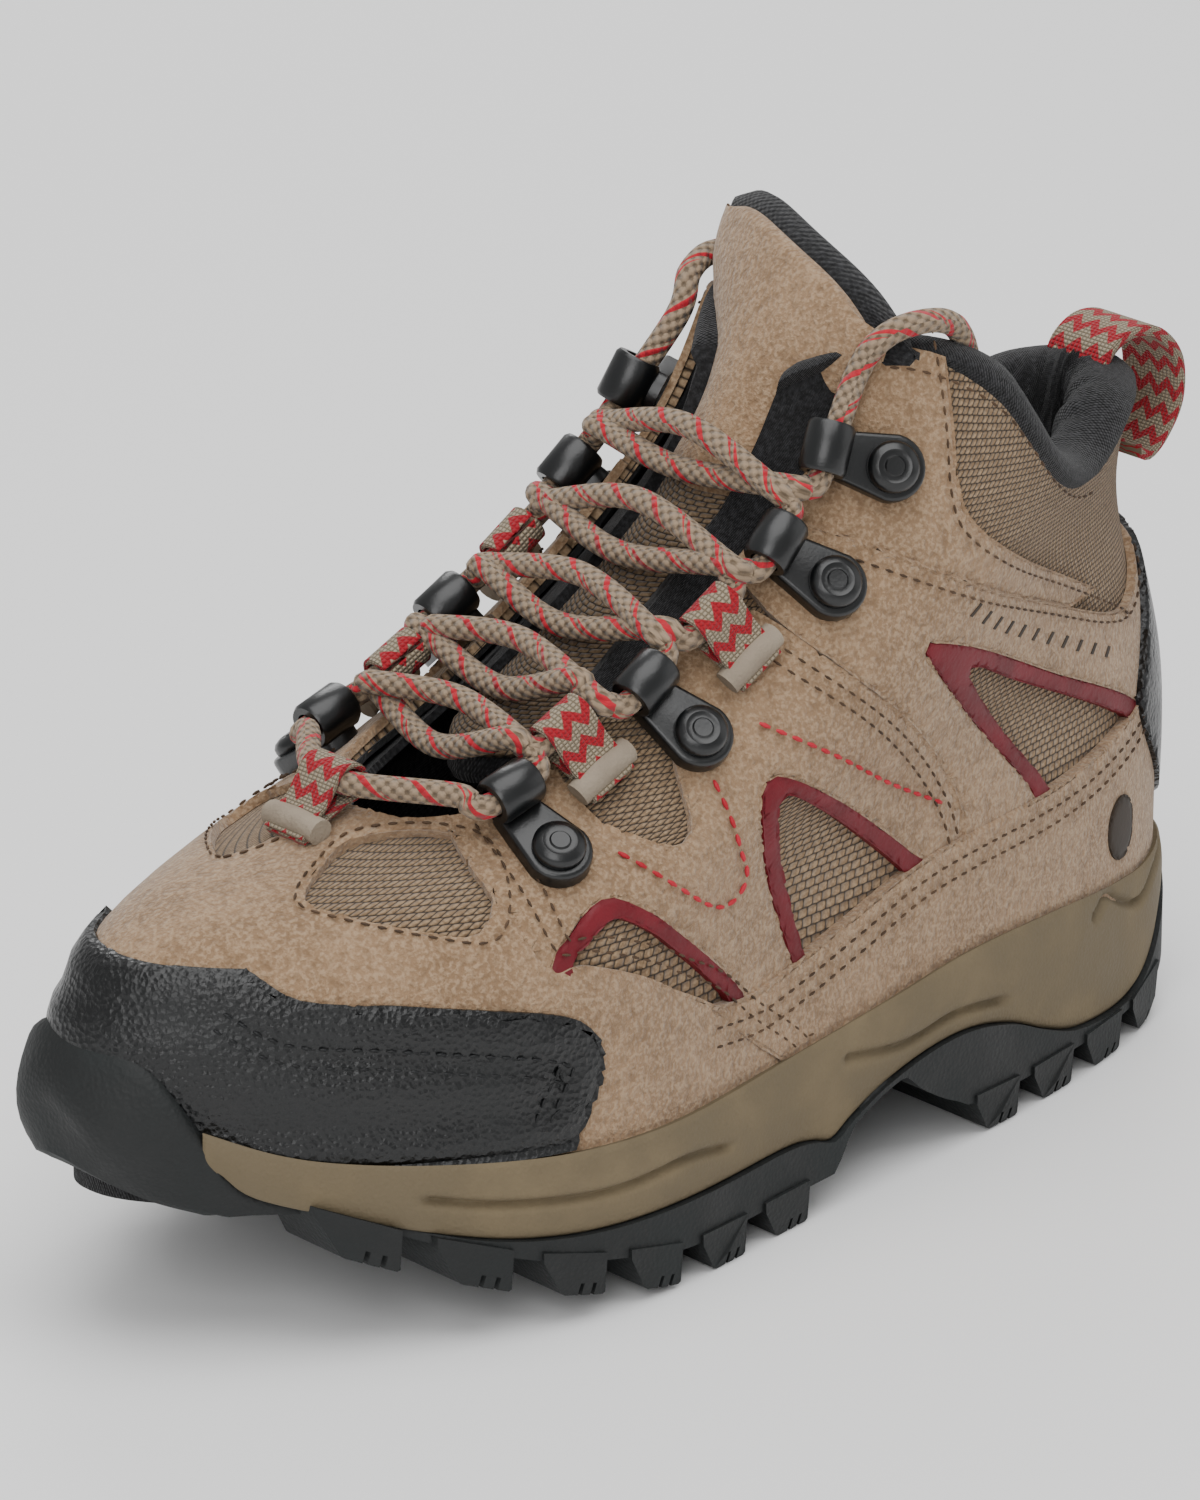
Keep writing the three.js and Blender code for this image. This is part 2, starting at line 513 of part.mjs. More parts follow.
/** A local frame on the form, midway between two side-view points: x towards the tip, z outwards. */
function seat(from, to, sideSign) {
  const a = form.locate(side(...from));
  const b = form.locate(side(...to));
  const angle = (sideSign * (a.angle + b.angle)) / 2;
  const height = (a.height + b.height) / 2;
  const out = form.normal(angle, height);
  const reach = form.surface(sideSign * b.angle, b.height).sub(form.surface(sideSign * a.angle, a.height));
  const along = reach.addScaledVector(out, -reach.dot(out)).normalize();
  const across = out.clone().cross(along);
  const origin = form.surface(angle, height);
  return new THREE.Matrix4().makeBasis(along, across, out).setPosition(origin);
}

/** A geometry placed in a local frame, as a solid. */
const placed = (geometry, frame) => solid(geometry.clone().applyMatrix4(frame));

/** A disc or ring lying across the local frame: its axis runs along local y. */
function crossRod(radius, length, x, z, segments) {
  return new THREE.CylinderGeometry(radius, radius, length, segments).translate(x, 0, z);
}

/** A rounded teardrop outline in the local plane, wide at the rivet and narrower at the tip. */
function hookOutline(wide, narrow, pitch) {
  const shape = new THREE.Shape();
  shape.absarc(-pitch / 2, 0, wide / 2, Math.PI / 2, (3 * Math.PI) / 2, false);
  shape.lineTo(pitch / 2 + HOOK_EYE_OUTER, -narrow / 2);
  shape.lineTo(pitch / 2 + HOOK_EYE_OUTER, narrow / 2);
  shape.closePath();
  return shape;
}

/** A domed rivet whose shank goes down through the panels under the hook. */
function rivetGeometry(rise) {
  const foot = -rise - MESH_THICKNESS;
  const cap = RIVET_CAP_DIAMETER / 2;
  const stem = RIVET_SHANK_DIAMETER / 2;
  const bottom = HOOK_PLATE + FIT_GAP;
  const top = bottom + RIVET_CAP_HEIGHT;
  const profile = [[0, foot], [stem, foot], [stem, bottom], [cap, bottom], [cap, (bottom + top) / 2],
    [cap * 0.8, top], [0, top + 0.2]];
  const turned = new THREE.LatheGeometry(profile.map(([r, z]) => new THREE.Vector2(r, z)), 10);
  return turned.rotateX(Math.PI / 2);
}

function buildHooks(shanks) {
  const rise = SUEDE.outer + FIT_GAP + SEAT_LIFT;
  for (const [sideName, sign] of [["outer", 1], ["inner", -1]]) {
    for (const station of HOOK_STATIONS) {
      const lift = new THREE.Matrix4().makeTranslation(0, 0, rise);
      const frame = seat(station.rivet, station.tip, sign).multiply(lift);
      const half = HOOK_PITCH / 2;
      const outline = hookOutline(HOOK_WIDTH, HOOK_EYE_WIDTH, HOOK_PITCH);
      const depth = HOOK_EYE_OUTER * 2 + 1;
      const blank = new THREE.ExtrudeGeometry(outline, { depth, bevelEnabled: false, curveSegments: 3 });
      const plate = new THREE.BoxGeometry(HOOK_PITCH + HOOK_WIDTH, HOOK_WIDTH, HOOK_PLATE)
        .translate(-HOOK_WIDTH / 2, 0, HOOK_PLATE / 2);
      const eye = crossRod(HOOK_EYE_OUTER, HOOK_WIDTH, half, HOOK_EYE_OUTER, 8);
      const hole = crossRod(EYE_RADIUS * OCTAGON, HOOK_WIDTH * 2, half, HOOK_EYE_OUTER, 8);
      const mouth = new THREE.BoxGeometry(HOOK_EYE_OUTER, HOOK_WIDTH * 2, EYE_RADIUS)
        .translate(half - HOOK_EYE_OUTER, 0, HOOK_EYE_OUTER + EYE_RADIUS / 2);
      const boreRadius = RIVET_SHANK_DIAMETER / 2 + FIT_GAP;
      const bore = new THREE.CylinderGeometry(boreRadius, boreRadius, HOOK_WIDTH, 6)
        .rotateX(Math.PI / 2).translate(-half, 0, 0);
      let body = placed(plate, frame).add(placed(eye, frame)).intersect(placed(blank, frame));
      body = cut(body, placed(hole, frame), placed(bore, frame));
      if (station.open) body = body.subtract(placed(mouth, frame));
      add(`hook_${station.name}_${sideName}`, body, "nylon");
      const rivet = rivetGeometry(rise).translate(-half, 0, 0);
      add(`rivet_${station.name}_${sideName}`, placed(rivet, frame), "nylon");
      shanks.push(placed(bore, frame));
    }
  }
}

/** A short strap with a rolled root and an eye round the lace. */
function webbingLoop(base, tip, sign) {
  const rise = SUEDE.outer + FIT_GAP + SEAT_LIFT;
  const frame = seat(base, tip, sign).multiply(new THREE.Matrix4().makeTranslation(0, 0, rise));
  const half = WEB_PITCH / 2;
  const strap = new THREE.BoxGeometry(WEB_PITCH, WEBBING_LOOP_WIDTH, WEBBING_THICKNESS)
    .translate(0, 0, WEBBING_THICKNESS / 2);
  const eye = crossRod(WEB_EYE_OUTER, WEBBING_LOOP_WIDTH, half, WEB_EYE_OUTER, 10);
  const hole = crossRod(EYE_RADIUS * OCTAGON, WEBBING_LOOP_WIDTH * 2, half, WEB_EYE_OUTER, 8);
  const roll = crossRod(WEB_ROLL, WEBBING_LOOP_WIDTH + WEB_ROLL, -half, WEB_ROLL, 8);
  return cut(join([strap, eye, roll].map((g) => placed(g, frame))), placed(hole, frame));
}

function buildWebbingLoops() {
  add("webbing_loop_vamp", webbingLoop(VAMP_LOOP.base, VAMP_LOOP.tip, 1), "webbing");
  for (const [sideName, sign] of [["outer", 1], ["inner", -1]]) {
    for (const { name, base, tip } of WEB_STATIONS) {
      add(`webbing_loop_${name}_${sideName}`, webbingLoop(base, tip, sign), "webbing");
    }
  }
}

// ---------------------------------------------------------------- upper
function buildUpper(shanks) {
  const base = cut(trimmed(MESH), ...shanks);
  const seams = [VAMP_SEAM, FOXING_LINE, QUARTER_SEAM, QUARTER_TOP].map(seam);
  const split = -30 * GRADE_X;
  add("vamp_mesh", base.intersect(planPrism(rectangle(-FAR, -FAR, split - FIT_GAP, FAR))), "mesh");
  for (const [name, half] of Object.entries(HALVES)) {
    const behindSplit = planPrism(rectangle(split, -FAR, FAR, FAR));
    add(`quarter_mesh_${name}`, base.intersect(half).intersect(behindSplit), "mesh");
  }

  const suede = cut(trimmed(SUEDE), ...seams, ...shanks);
  const capShape = sidePrism(smooth(TOE_CAP_SHAPE));
  const capGap = sidePrism(grow(smooth(TOE_CAP_SHAPE), FIT_GAP));
  const heelShape = sidePrism(HEEL_CAP_SHAPE);
  const heelGap = sidePrism(grow(HEEL_CAP_SHAPE, FIT_GAP));
  add("toe_cap", trimmed(TOE_CAP).intersect(capShape), "toeCap");
  add("heel_cap", trimmed(SUEDE).intersect(heelShape), "toeCap");

  const windows = [FRONT_WINDOW, MIDDLE_WINDOW, REAR_WINDOW].map((w) => ({
    outer: sidePrism(smooth(sides(w.outer))),
    inner: sidePrism(smooth(sides(w.inner))),
    trim: sidePrism(grow(smooth(sides(w.outer)), -FIT_GAP)),
  }));
  const vampWindows = [1, -1].map((sign) => {
    const outline = VAMP_WINDOW.map(([x, y]) => new THREE.Vector2(x * GRADE_X, sign * y * GRADE_Y));
    return planPrism(ordered(smooth(outline)), 55 * GRADE_Z, FAR);
  });
  const vamp = suede.intersect(FRONT_OF_VAMP_SEAM());
  add("vamp_suede", cut(vamp, capGap, ...vampWindows), "suede");
  add("foxing_suede", cut(suede.intersect(BELOW_FOXING()), FRONT_OF_VAMP_SEAM(), heelGap), "suede");

  const trimLayer = cut(trimmed(TRIM), ...seams);
  const names = ["front", "middle", "rear"];
  for (const [sideName, half] of Object.entries(HALVES)) {
    const panel = suede.intersect(half);
    const wedges = [sidePrism(WEDGE_FRONT), sidePrism(WEDGE_REAR)];
    const stay = cut(panel, FRONT_OF_VAMP_SEAM(), BELOW_FOXING(), BEHIND_QUARTER_SEAM(), ...wedges,
      windows[0].outer, windows[1].outer);
    add(`eyestay_${sideName}`, largest(stay), "suede");
    const quarter = cut(panel.intersect(BEHIND_QUARTER_SEAM()), BELOW_FOXING(), ABOVE_QUARTER_TOP(), heelGap,
      sidePrism(WEDGE_REAR), windows[2].outer);
    add(`quarter_${sideName}`, largest(quarter), "suede");
    const behindBorder = beyond(MESH_BORDER, [FAR, 81.5], [FAR, FAR], [58, FAR]);
    const collar = cut(panel.intersect(ABOVE_QUARTER_TOP()), behindBorder);
    add(`collar_panel_${sideName}`, largest(collar), "suede");
    names.forEach((name, i) => {
      const band = cut(trimLayer.intersect(half).intersect(windows[i].trim), windows[i].inner, BELOW_FOXING(),
        FRONT_OF_VAMP_SEAM(), heelGap);
      add(`trim_${name}_${sideName}`, largest(band), "trim");
    });
  }
}

/** The biggest of the separate pieces that a cut leaves. */
function largest(body) {
  return body.decompose().reduce((best, piece) => (piece.volume() > best.volume() ? piece : best));
}

/** A closed outline turned anticlockwise. */
const ordered = (points) => (THREE.ShapeUtils.area(points) < 0 ? [...points].reverse() : points);

/** A closed outline moved outwards by a distance. */
function grow(points, distance) {
  const loop = ordered(points);
  return loop.map((p, i) => {
    const before = loop[(i + loop.length - 1) % loop.length];
    const after = loop[(i + 1) % loop.length];
    const way = after.clone().sub(before).normalize();
    return new THREE.Vector2(p.x + way.y * distance, p.y - way.x * distance);
  });
}

// ---------------------------------------------------------------- tongue
const TONGUE_OUTER = LINING.inner - TONGUE_CLEARANCE;
const TONGUE_PAD_OUTER = TONGUE_OUTER - TONGUE_COVER_THICKNESS - FIT_GAP;
const STRAND_UNDER = TONGUE_OUTER + LACE_DIAMETER / 2 + STRAND_CLEARANCE;
const STRAND_OVER = STRAND_UNDER + LACE_DIAMETER + STRAND_GAP;
const TONGUE_PLAN = [[-61, -15], [-54, -18], [-20, -19.5], [10, -20.5], [40, -22.5], [90, -23]];
const TONGUE_BAND = sides([[-61, 55], [-61, 120], [0, 200], [90, 200], [61, 148], [44, 118], [8, 84],
  [-25, 60]]);
const COVER_BAND = sides([[16, 60], [6, 130], [0, 200], [100, 200], [120, 60]]);

function buildTongue() {
  const half = TONGUE_PLAN.map(([x, y]) => new THREE.Vector2(x * GRADE_X, y * GRADE_Y));
  const mirror = half.map((p) => new THREE.Vector2(p.x, -p.y)).reverse();
  const strip = planPrism([...half, ...mirror]).intersect(sidePrism(TONGUE_BAND));
  const pad = { outer: TONGUE_PAD_OUTER, inner: TONGUE_PAD_OUTER - TONGUE_PAD_THICKNESS };
  const cover = { outer: TONGUE_OUTER, inner: TONGUE_OUTER - TONGUE_COVER_THICKNESS };
  add("tongue_pad", largest(layer(pad).intersect(strip)), "lining");
  add("tongue_cover", largest(layer(cover).intersect(strip).intersect(sidePrism(COVER_BAND))), "suede");
}

// ---------------------------------------------------------------- lace
/** A polyline path whose steps are its own points, so that an extrusion bends where the points say. */
class PointPath extends THREE.Curve {
  constructor(points) {
    super();
    this.points = points;
  }

  getPoint(share) {
    const place = share * (this.points.length - 1);
    const i = Math.min(Math.floor(place), this.points.length - 2);
    return this.points[i].clone().lerp(this.points[i + 1], place - i);
  }

  getPointAt(share) {
    return this.getPoint(share);
  }

  getTangentAt(share) {
    const place = Math.round(share * (this.points.length - 1));
    const before = this.points[Math.max(place - 1, 0)];
    const after = this.points[Math.min(place + 1, this.points.length - 1)];
    return after.clone().sub(before).normalize();
  }
}

/** Middle of a hook's or webbing loop's eye, with its directions along the tip and along the tunnel. */
function eyeAt(from, to, sign, pitch, eyeOuter, width) {
  const frame = seat(from, to, sign);
  const [tip, tunnel, out] = [new THREE.Vector3(), new THREE.Vector3(), new THREE.Vector3()];
  frame.extractBasis(tip, tunnel, out);
  if (tunnel.z < 0) tunnel.negate();
  const rise = SUEDE.outer + FIT_GAP + SEAT_LIFT + eyeOuter;
  const middle = new THREE.Vector3(pitch / 2, 0, rise).applyMatrix4(frame);
  return { middle, tip, tunnel, reach: width / 2 + 0.6 };
}

/** The eyes on one side of the boot, from the lowest up. */
function laceStations(sign) {
  const hook = ({ rivet, tip }) => eyeAt(rivet, tip, sign, HOOK_PITCH, HOOK_EYE_OUTER, HOOK_EYE_WIDTH);
  const web = ({ base, tip }) => eyeAt(base, tip, sign, WEB_PITCH, WEB_EYE_OUTER, WEBBING_LOOP_WIDTH);
  const [lower, middle, upper, top] = HOOK_STATIONS;
  return [hook(lower), web(WEB_STATIONS[0]), hook(middle), web(WEB_STATIONS[1]), hook(upper), hook(top)];
}

/** The lace crosses from eye to eye over the tongue; its ends are tucked in beside the tongue. */
function lacePoints() {
  const stations = { 1: laceStations(1), [-1]: laceStations(-1) };
  const offset = (eye, tunnel, tip) =>
    eye.middle.clone().addScaledVector(eye.tunnel, tunnel).addScaledVector(eye.tip, tip);
  // How the lace bends from an eye's mouth: along the tunnel, past the tip.
  const turn = [[0, 0], [2.4, 2.2], [3, 5]];
  const leave = (eye) => turn.map(([tunnel, tip]) => offset(eye, eye.reach + tunnel, tip));
  const enter = (eye) => turn.map(([tunnel, tip]) => offset(eye, -eye.reach - tunnel, tip)).reverse();
  const crossing = (a, b, over) => {
    const middle = a.middle.clone().lerp(b.middle, 0.5);
    return form.at(0, form.ridgeHeight(middle), over ? STRAND_OVER : STRAND_UNDER);
  };
  const strand = (first) => {
    const points = [];
    let sign = first;
    const last = stations[1].length - 1;
    for (let i = 0; i <= last; i += 1) {
      const eye = stations[sign][i];
      if (i > 0) points.push(...enter(eye));
      points.push(...leave(eye));
      if (i < last) points.push(crossing(eye, stations[-sign][i + 1], first > 0));
      sign = -sign;
    }
    return { points, sign: -sign };
  };
  const tucked = [[41, 22.5, 144], [46, 24.5, 150.5], [54, 26.5, 152], [62, 25.6, 149], [66.5, 24.4, 142],
    [67.5, 24.2, 134]];
  const end = (sign) =>
    tucked.map(([x, y, z]) => new THREE.Vector3(x * GRADE_X, -sign * y * GRADE_Y, z * GRADE_Z));
  const outer = strand(1);
  const inner = strand(-1);
  const vamp = eyeAt(VAMP_LOOP.base, VAMP_LOOP.tip, 1, WEB_PITCH, WEB_EYE_OUTER, WEBBING_LOOP_WIDTH);
  const through = [-vamp.reach, vamp.reach].map((y) => vamp.middle.clone().setY(vamp.middle.y + y));
  const bar = [...enter(stations[1][0]).reverse(), ...through, ...enter(stations[-1][0])];
  const upOuter = [...end(outer.sign).reverse(), ...outer.points.reverse()];
  return [...upOuter, ...bar, ...inner.points, ...end(inner.sign)];
}

function buildLace() {
  const points = lacePoints();
  const section = new THREE.Shape();
  const sidesOfCord = 8;
  for (let i = 0; i < sidesOfCord; i += 1) {
    const turn = (2 * Math.PI * i) / sidesOfCord;
    const radius = LACE_DIAMETER / 2;
    section[i ? "lineTo" : "moveTo"](Math.cos(turn) * radius, Math.sin(turn) * radius);
  }
  const path = new PointPath(points);
  const steps = points.length - 1;
  const cord = new THREE.ExtrudeGeometry(section, { steps, extrudePath: path, bevelEnabled: false });
  add("lace", solid(cord), "lace");
  const ends = [["inner", points[0], points[1]], ["outer", points.at(-1), points.at(-2)]];
  for (const [name, tip, before] of ends) {
    const way = tip.clone().sub(before).normalize();
    const middle = tip.clone().addScaledVector(way, FIT_GAP + AGLET_LENGTH / 2);
    const tag = new THREE.CylinderGeometry(LACE_DIAMETER / 2.4, LACE_DIAMETER / 2.4, AGLET_LENGTH, 10);
    tag.applyQuaternion(new THREE.Quaternion().setFromUnitVectors(new THREE.Vector3(0, 1, 0), way));
    add(`aglet_${name}`, solid(tag.translate(middle.x, middle.y, middle.z)), "nylon");
  }
}

// ---------------------------------------------------------------- pull loop
function buildPullLoop() {
  const outline = sides([[119, 120.8], [121.5, 125.5], [127, 128], [134, 126.5], [139.5, 120.5], [140, 112.5],
    [136.5, 106.5], [132.5, 103.5], [129.5, 104.5]]);
  const path = new THREE.SplineCurve(outline).getPoints(14);
  const shifted = (distance) => path.map((p, i) => {
    const way = path[Math.min(i + 1, path.length - 1)].clone().sub(path[Math.max(i - 1, 0)]).normalize();
    return new THREE.Vector2(p.x + way.y * distance, p.y - way.x * distance);
  });
  const half = PULL_WEBBING_THICKNESS / 2;
  const reach = PULL_WEBBING_WIDTH / 2;
  const band = sidePrism([...shifted(half), ...shifted(-half).reverse()], -reach, reach);
  const clear = trimmed({ inner: PADDING.inner - FIT_GAP, outer: MESH.outer + FIT_GAP });
  add("pull_loop", largest(cut(band, clear)), "webbing");
}

const shankBores = [];
buildSole();
buildHooks(shankBores);
buildLinings();
buildUpper(shankBores);
buildWebbingLoops();
buildTongue();
buildLace();
buildPullLoop();

// The origin is the middle of the bounding box in plan; the lugs already stand on z = 0.
const box = new THREE.Box3().setFromObject(boot);
boot.position.set(-(box.min.x + box.max.x) / 2, -(box.min.y + box.max.y) / 2, 0);
boot.updateMatrixWorld(true);

export default boot;
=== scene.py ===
"""A left hiking boot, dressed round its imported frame: suede and mesh upper, lacing, padding, lugged sole.

Patterns are drawn in millimetres on the last's own axes (toe -X, heel +X, outer side -Y, up +Z) and laid on
one foot form, the last, as a shoemaker does. Meshes are moved to the frame's metres when they are finished.
"""

from __future__ import annotations

import logging
import math
from collections.abc import Callable, Sequence
from dataclasses import dataclass, field
from enum import Enum

import bmesh
import bpy
import numpy as np
from mathutils import Matrix, Vector

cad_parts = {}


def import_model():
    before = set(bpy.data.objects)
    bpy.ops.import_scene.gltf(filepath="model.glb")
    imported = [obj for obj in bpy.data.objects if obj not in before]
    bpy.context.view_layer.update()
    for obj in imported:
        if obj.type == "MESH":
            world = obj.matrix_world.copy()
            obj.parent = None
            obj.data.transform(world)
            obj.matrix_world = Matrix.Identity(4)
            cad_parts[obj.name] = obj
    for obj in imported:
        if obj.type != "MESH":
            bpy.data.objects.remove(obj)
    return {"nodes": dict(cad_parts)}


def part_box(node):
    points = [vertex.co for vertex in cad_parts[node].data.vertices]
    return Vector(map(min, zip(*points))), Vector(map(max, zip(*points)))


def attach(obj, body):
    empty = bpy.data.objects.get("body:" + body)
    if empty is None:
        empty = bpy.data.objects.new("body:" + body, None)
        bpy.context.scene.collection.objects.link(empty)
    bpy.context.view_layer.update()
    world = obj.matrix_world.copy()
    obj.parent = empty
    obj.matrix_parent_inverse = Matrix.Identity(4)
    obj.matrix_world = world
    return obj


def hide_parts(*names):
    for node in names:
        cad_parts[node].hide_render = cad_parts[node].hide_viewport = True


log = logging.getLogger("boot")

MM = 0.001  # metres in a millimetre
GIRTH = 600.0  # pattern millimetres once round the last
RISE = 130.0  # pattern millimetres from the last's lowest slice to its highest
UV_PER_MM = 0.01  # every pattern UV is a hundredth of a millimetre count
HEEL = GIRTH / 2
SHANK_MIDDLE = 38.0  # middle of the shank along X, which ties the pattern's axes to the frame

Points = np.ndarray
Line = Sequence[Sequence[float]]
Place = Callable[[Points, Points], Points]
Shape = bmesh.types.BMesh
Material = bpy.types.Material
Socket = bpy.types.NodeSocket


class Side(Enum):
    """A side of the boot, with its sign in girth."""

    OUTER = 1
    INNER = -1


# ------------------------------------------------------------------ the last


def through(samples: Points, at: Points) -> Points:
    """Smooth value through evenly spaced samples.

    Args:
        samples: values along the last axis.
        at: places from 0 to 1, one for each row of samples.

    Returns:
        The values at those places.
    """
    last = samples.shape[-1] - 1
    place = np.clip(at, 0, 1) * last
    i = np.minimum(place.astype(int), last - 1)
    s = place - i
    slopes = np.gradient(samples, axis=-1)

    def pick(table: Points, j: Points) -> Points:
        """The j-th entry of each row."""
        return np.take_along_axis(table, j[..., None], -1)[..., 0]

    low, high = pick(samples, i), pick(samples, i + 1)
    bend = pick(slopes, i) * (s**3 - 2 * s**2 + s) + pick(slopes, i + 1) * (s**3 - s**2)
    return low + (high - low) * (3 * s**2 - 2 * s**3) + bend


@dataclass(frozen=True)
class Last:
    """The foot form. A slice at each of six even heights gives its front, its back and its half widths."""

    front: tuple = ((-112, 30), (-104, 65), (-58, 81), (-17, 101), (20, 128), (40, 160))
    back: tuple = ((132, 24), (132, 62), (128, 84), (125, 102), (127, 116), (131, 128))
    outer: tuple = (
        (34, 47, 39, 35, 33),
        (30, 43, 36, 33, 31),
        (30, 38, 36, 31, 28),
        (28, 35, 35, 29, 25),
        (27, 33, 33, 29, 24),
        (26, 32, 33, 29, 24),
    )
    inner: tuple = (
        (32, 44, 34, 33, 33),
        (28, 41, 34, 32, 31),
        (27, 37, 33, 30, 28),
        (26, 34, 33, 29, 25),
        (26, 32, 33, 29, 25),
        (26, 32, 33, 29, 24),
    )
    skew: tuple = (9, 7, 3, 0, 0, 0)
    fullness: tuple = (2.3, 2.3, 2.2, 2.1, 2, 2)

    def level(self, values: Sequence[float], height: Points) -> Points:
        """A station value at heights of 0..1."""
        return through(np.broadcast_to(np.array(values, float), (*height.shape, len(values))), height)

    def _end(self, ends: tuple, height: Points) -> Points:
        """Front or back end of the slices, as side-view (x, z)."""
        return np.stack([self.level([e[i] for e in ends], height) for i in (0, 1)], -1)

    def _slice(self, turn: Points, height: Points) -> Points:
        """Points on the last at a turn in radians and a height of 0..1.

        Args:
            turn: turn from the toe in radians, outer side positive.
            height: height of 0..1.

        Returns:
            The points.
        """
        along = (1 - np.cos(turn)) / 2

        def half(table: tuple) -> Points:
            """Half width at each point from one side's table."""
            columns = [self.level([row[i] for row in table], height) for i in range(5)]
            return through(np.stack(columns, -1), along)

        width = np.where(turn >= 0, half(self.outer), half(self.inner))
        power = self.level(self.fullness, height)
        bulge = np.maximum(1 - np.abs(np.cos(turn)) ** power, 0) ** (1 / power)
        lean = self.level(self.skew, height) * np.maximum(1 - along / 0.4, 0) ** 2
        front = self._end(self.front, height)
        middle = front + (self._end(self.back, height) - front) * along[..., None]
        return np.stack([middle[..., 0], lean - np.sign(turn) * width * bulge, middle[..., 1]], -1)

    def surface(self, s: Points, t: Points) -> Points:
        """Points on the last, carried on straight past its lowest and highest slices.

        Args:
            s: girth in pattern millimetres, from the toe, outer side positive.
            t: height in pattern millimetres.

        Returns:
            The points in millimetres.
        """
        s, t = np.broadcast_arrays(np.asarray(s, float), np.asarray(t, float))
        turn = np.mod(s / GIRTH * 2 * np.pi + np.pi, 2 * np.pi) - np.pi
        height = np.clip(t / RISE, 0, 1)
        spot = self._slice(turn, height)
        over = np.maximum(t / RISE - 1, 0)
        step = 0.02
        one = np.ones_like(height)
        climb = (self._slice(turn, one) - self._slice(turn, one - step)) / step
        drop = np.minimum(t, 0)
        return spot + climb * over[..., None] + np.stack([0 * drop, 0 * drop, drop], -1)

    def normal(self, s: Points, t: Points) -> Points:
        """Outward directions of the last.

        Args:
            s: girth.
            t: height in pattern millimetres.

        Returns:
            Unit directions.
        """
        t = np.clip(t, 0, RISE)
        round_way = self.surface(s + 1.7, t) - self.surface(s - 1.7, t)
        up = self.surface(s, np.minimum(t + 1.3, RISE)) - self.surface(s, np.maximum(t - 1.3, 0))
        out = np.cross(round_way, up)
        return out / np.linalg.norm(out, axis=-1, keepdims=True)

    def place(self, s: Points, t: Points, out: Points | float = 0.0) -> Points:
        """Points at a distance outwards from the last."""
        s, t, out = np.broadcast_arrays(np.asarray(s, float), np.asarray(t, float), np.asarray(out, float))
        return self.surface(s, t) + self.normal(s, t) * out[..., None]

    def locate(self, side_view: Line) -> Points:
        """Girth (outer side) and height of side-view points (x, z).

        Args:
            side_view: points (x, z) in millimetres.

        Returns:
            Girth and height of each.
        """
        points = np.array(side_view, float).reshape(-1, 2)
        low, high = np.zeros(len(points)), np.ones(len(points))
        for _ in range(26):
            middle = (low + high) / 2
            front = self._end(self.front, middle)
            span = self._end(self.back, middle) - front
            reach = points - front
            above = span[:, 0] * reach[:, 1] - span[:, 1] * reach[:, 0] > 0
            low, high = np.where(above, middle, low), np.where(above, high, middle)
        front = self._end(self.front, low)
        span = self._end(self.back, low) - front
        along = np.clip(((points - front) * span).sum(1) / (span**2).sum(1), 0, 1)
        return np.stack([np.arccos(1 - 2 * along) / (2 * np.pi) * GIRTH, low * RISE], -1)

    def locate_plan(self, plan: Line) -> Points:
        """Girth and height of plan-view points (x, y) on the upper surface.

        Args:
            plan: points (x, y) in millimetres.

        Returns:
            Girth and height of each.
        """
        points = np.array(plan, float).reshape(-1, 2)
        s, t = np.meshgrid(np.linspace(-130, 130, 131), np.linspace(0.1 * RISE, RISE, 91))
        known = self.surface(s, t).reshape(-1, 3)
        near = ((known[None, :, :2] - points[:, None]) ** 2).sum(-1).argmin(1)
        spot = np.stack([s.ravel()[near], t.ravel()[near]], -1)
        for _ in range(6):
            here = self.surface(spot[:, 0], spot[:, 1])[:, :2]
            ds = self.surface(spot[:, 0] + 0.1, spot[:, 1])[:, :2] - here
            dt = self.surface(spot[:, 0], spot[:, 1] - 0.1)[:, :2] - here
            slopes = np.stack([ds / 0.1, dt / -0.1], -1)
            spot = spot + np.einsum("nij,nj->ni", np.linalg.pinv(slopes), points - here) * 0.8
        return spot


LAST = Last()


# ------------------------------------------------------------------ lines and outlines


def spline(points: Line, closed: bool = False, spacing: float = 2.5) -> Points:
    """A smooth line through points, evenly resampled.

    Args:
        points: the line's own points, in two or three dimensions.
        closed: whether the line comes back to its start.
        spacing: distance between the new points.

    Returns:
        The new points. A closed line does not repeat its first point.
    """
    p = np.array(points, float)
    count = len(p)
    fine = []
    for i in range(count if closed else count - 1):
        if closed:
            a, b, c, d = (p[(i + k) % count] for k in (-1, 0, 1, 2))
        else:
            b, c = p[i], p[i + 1]
            a = p[i - 1] if i > 0 else 2 * b - c
            d = p[i + 2] if i + 2 < count else 2 * c - b
        u = np.linspace(0, 1, 16, endpoint=False)[:, None]
        bend = (2 * a - 5 * b + 4 * c - d) * u**2 + (3 * b - a - 3 * c + d) * u**3
        fine.append(b + (c - a) * u / 2 + bend / 2)
    fine.append(p[:1] if closed else p[-1:])
    return resample(np.concatenate(fine), spacing)[: -1 if closed else None]


def resample(line: Points, spacing: float) -> Points:
    """The same open line with evenly spaced points.

    Args:
        line: its points.
        spacing: distance between the new points.

    Returns:
        The new points, both ends kept.
    """
    run = np.concatenate([[0], np.cumsum(np.linalg.norm(np.diff(line, axis=0), axis=1))])
    count = max(int(round(run[-1] / spacing)), 2)
    at = np.linspace(0, run[-1], count + 1)
    return np.stack([np.interp(at, run, line[:, k]) for k in range(line.shape[1])], -1)


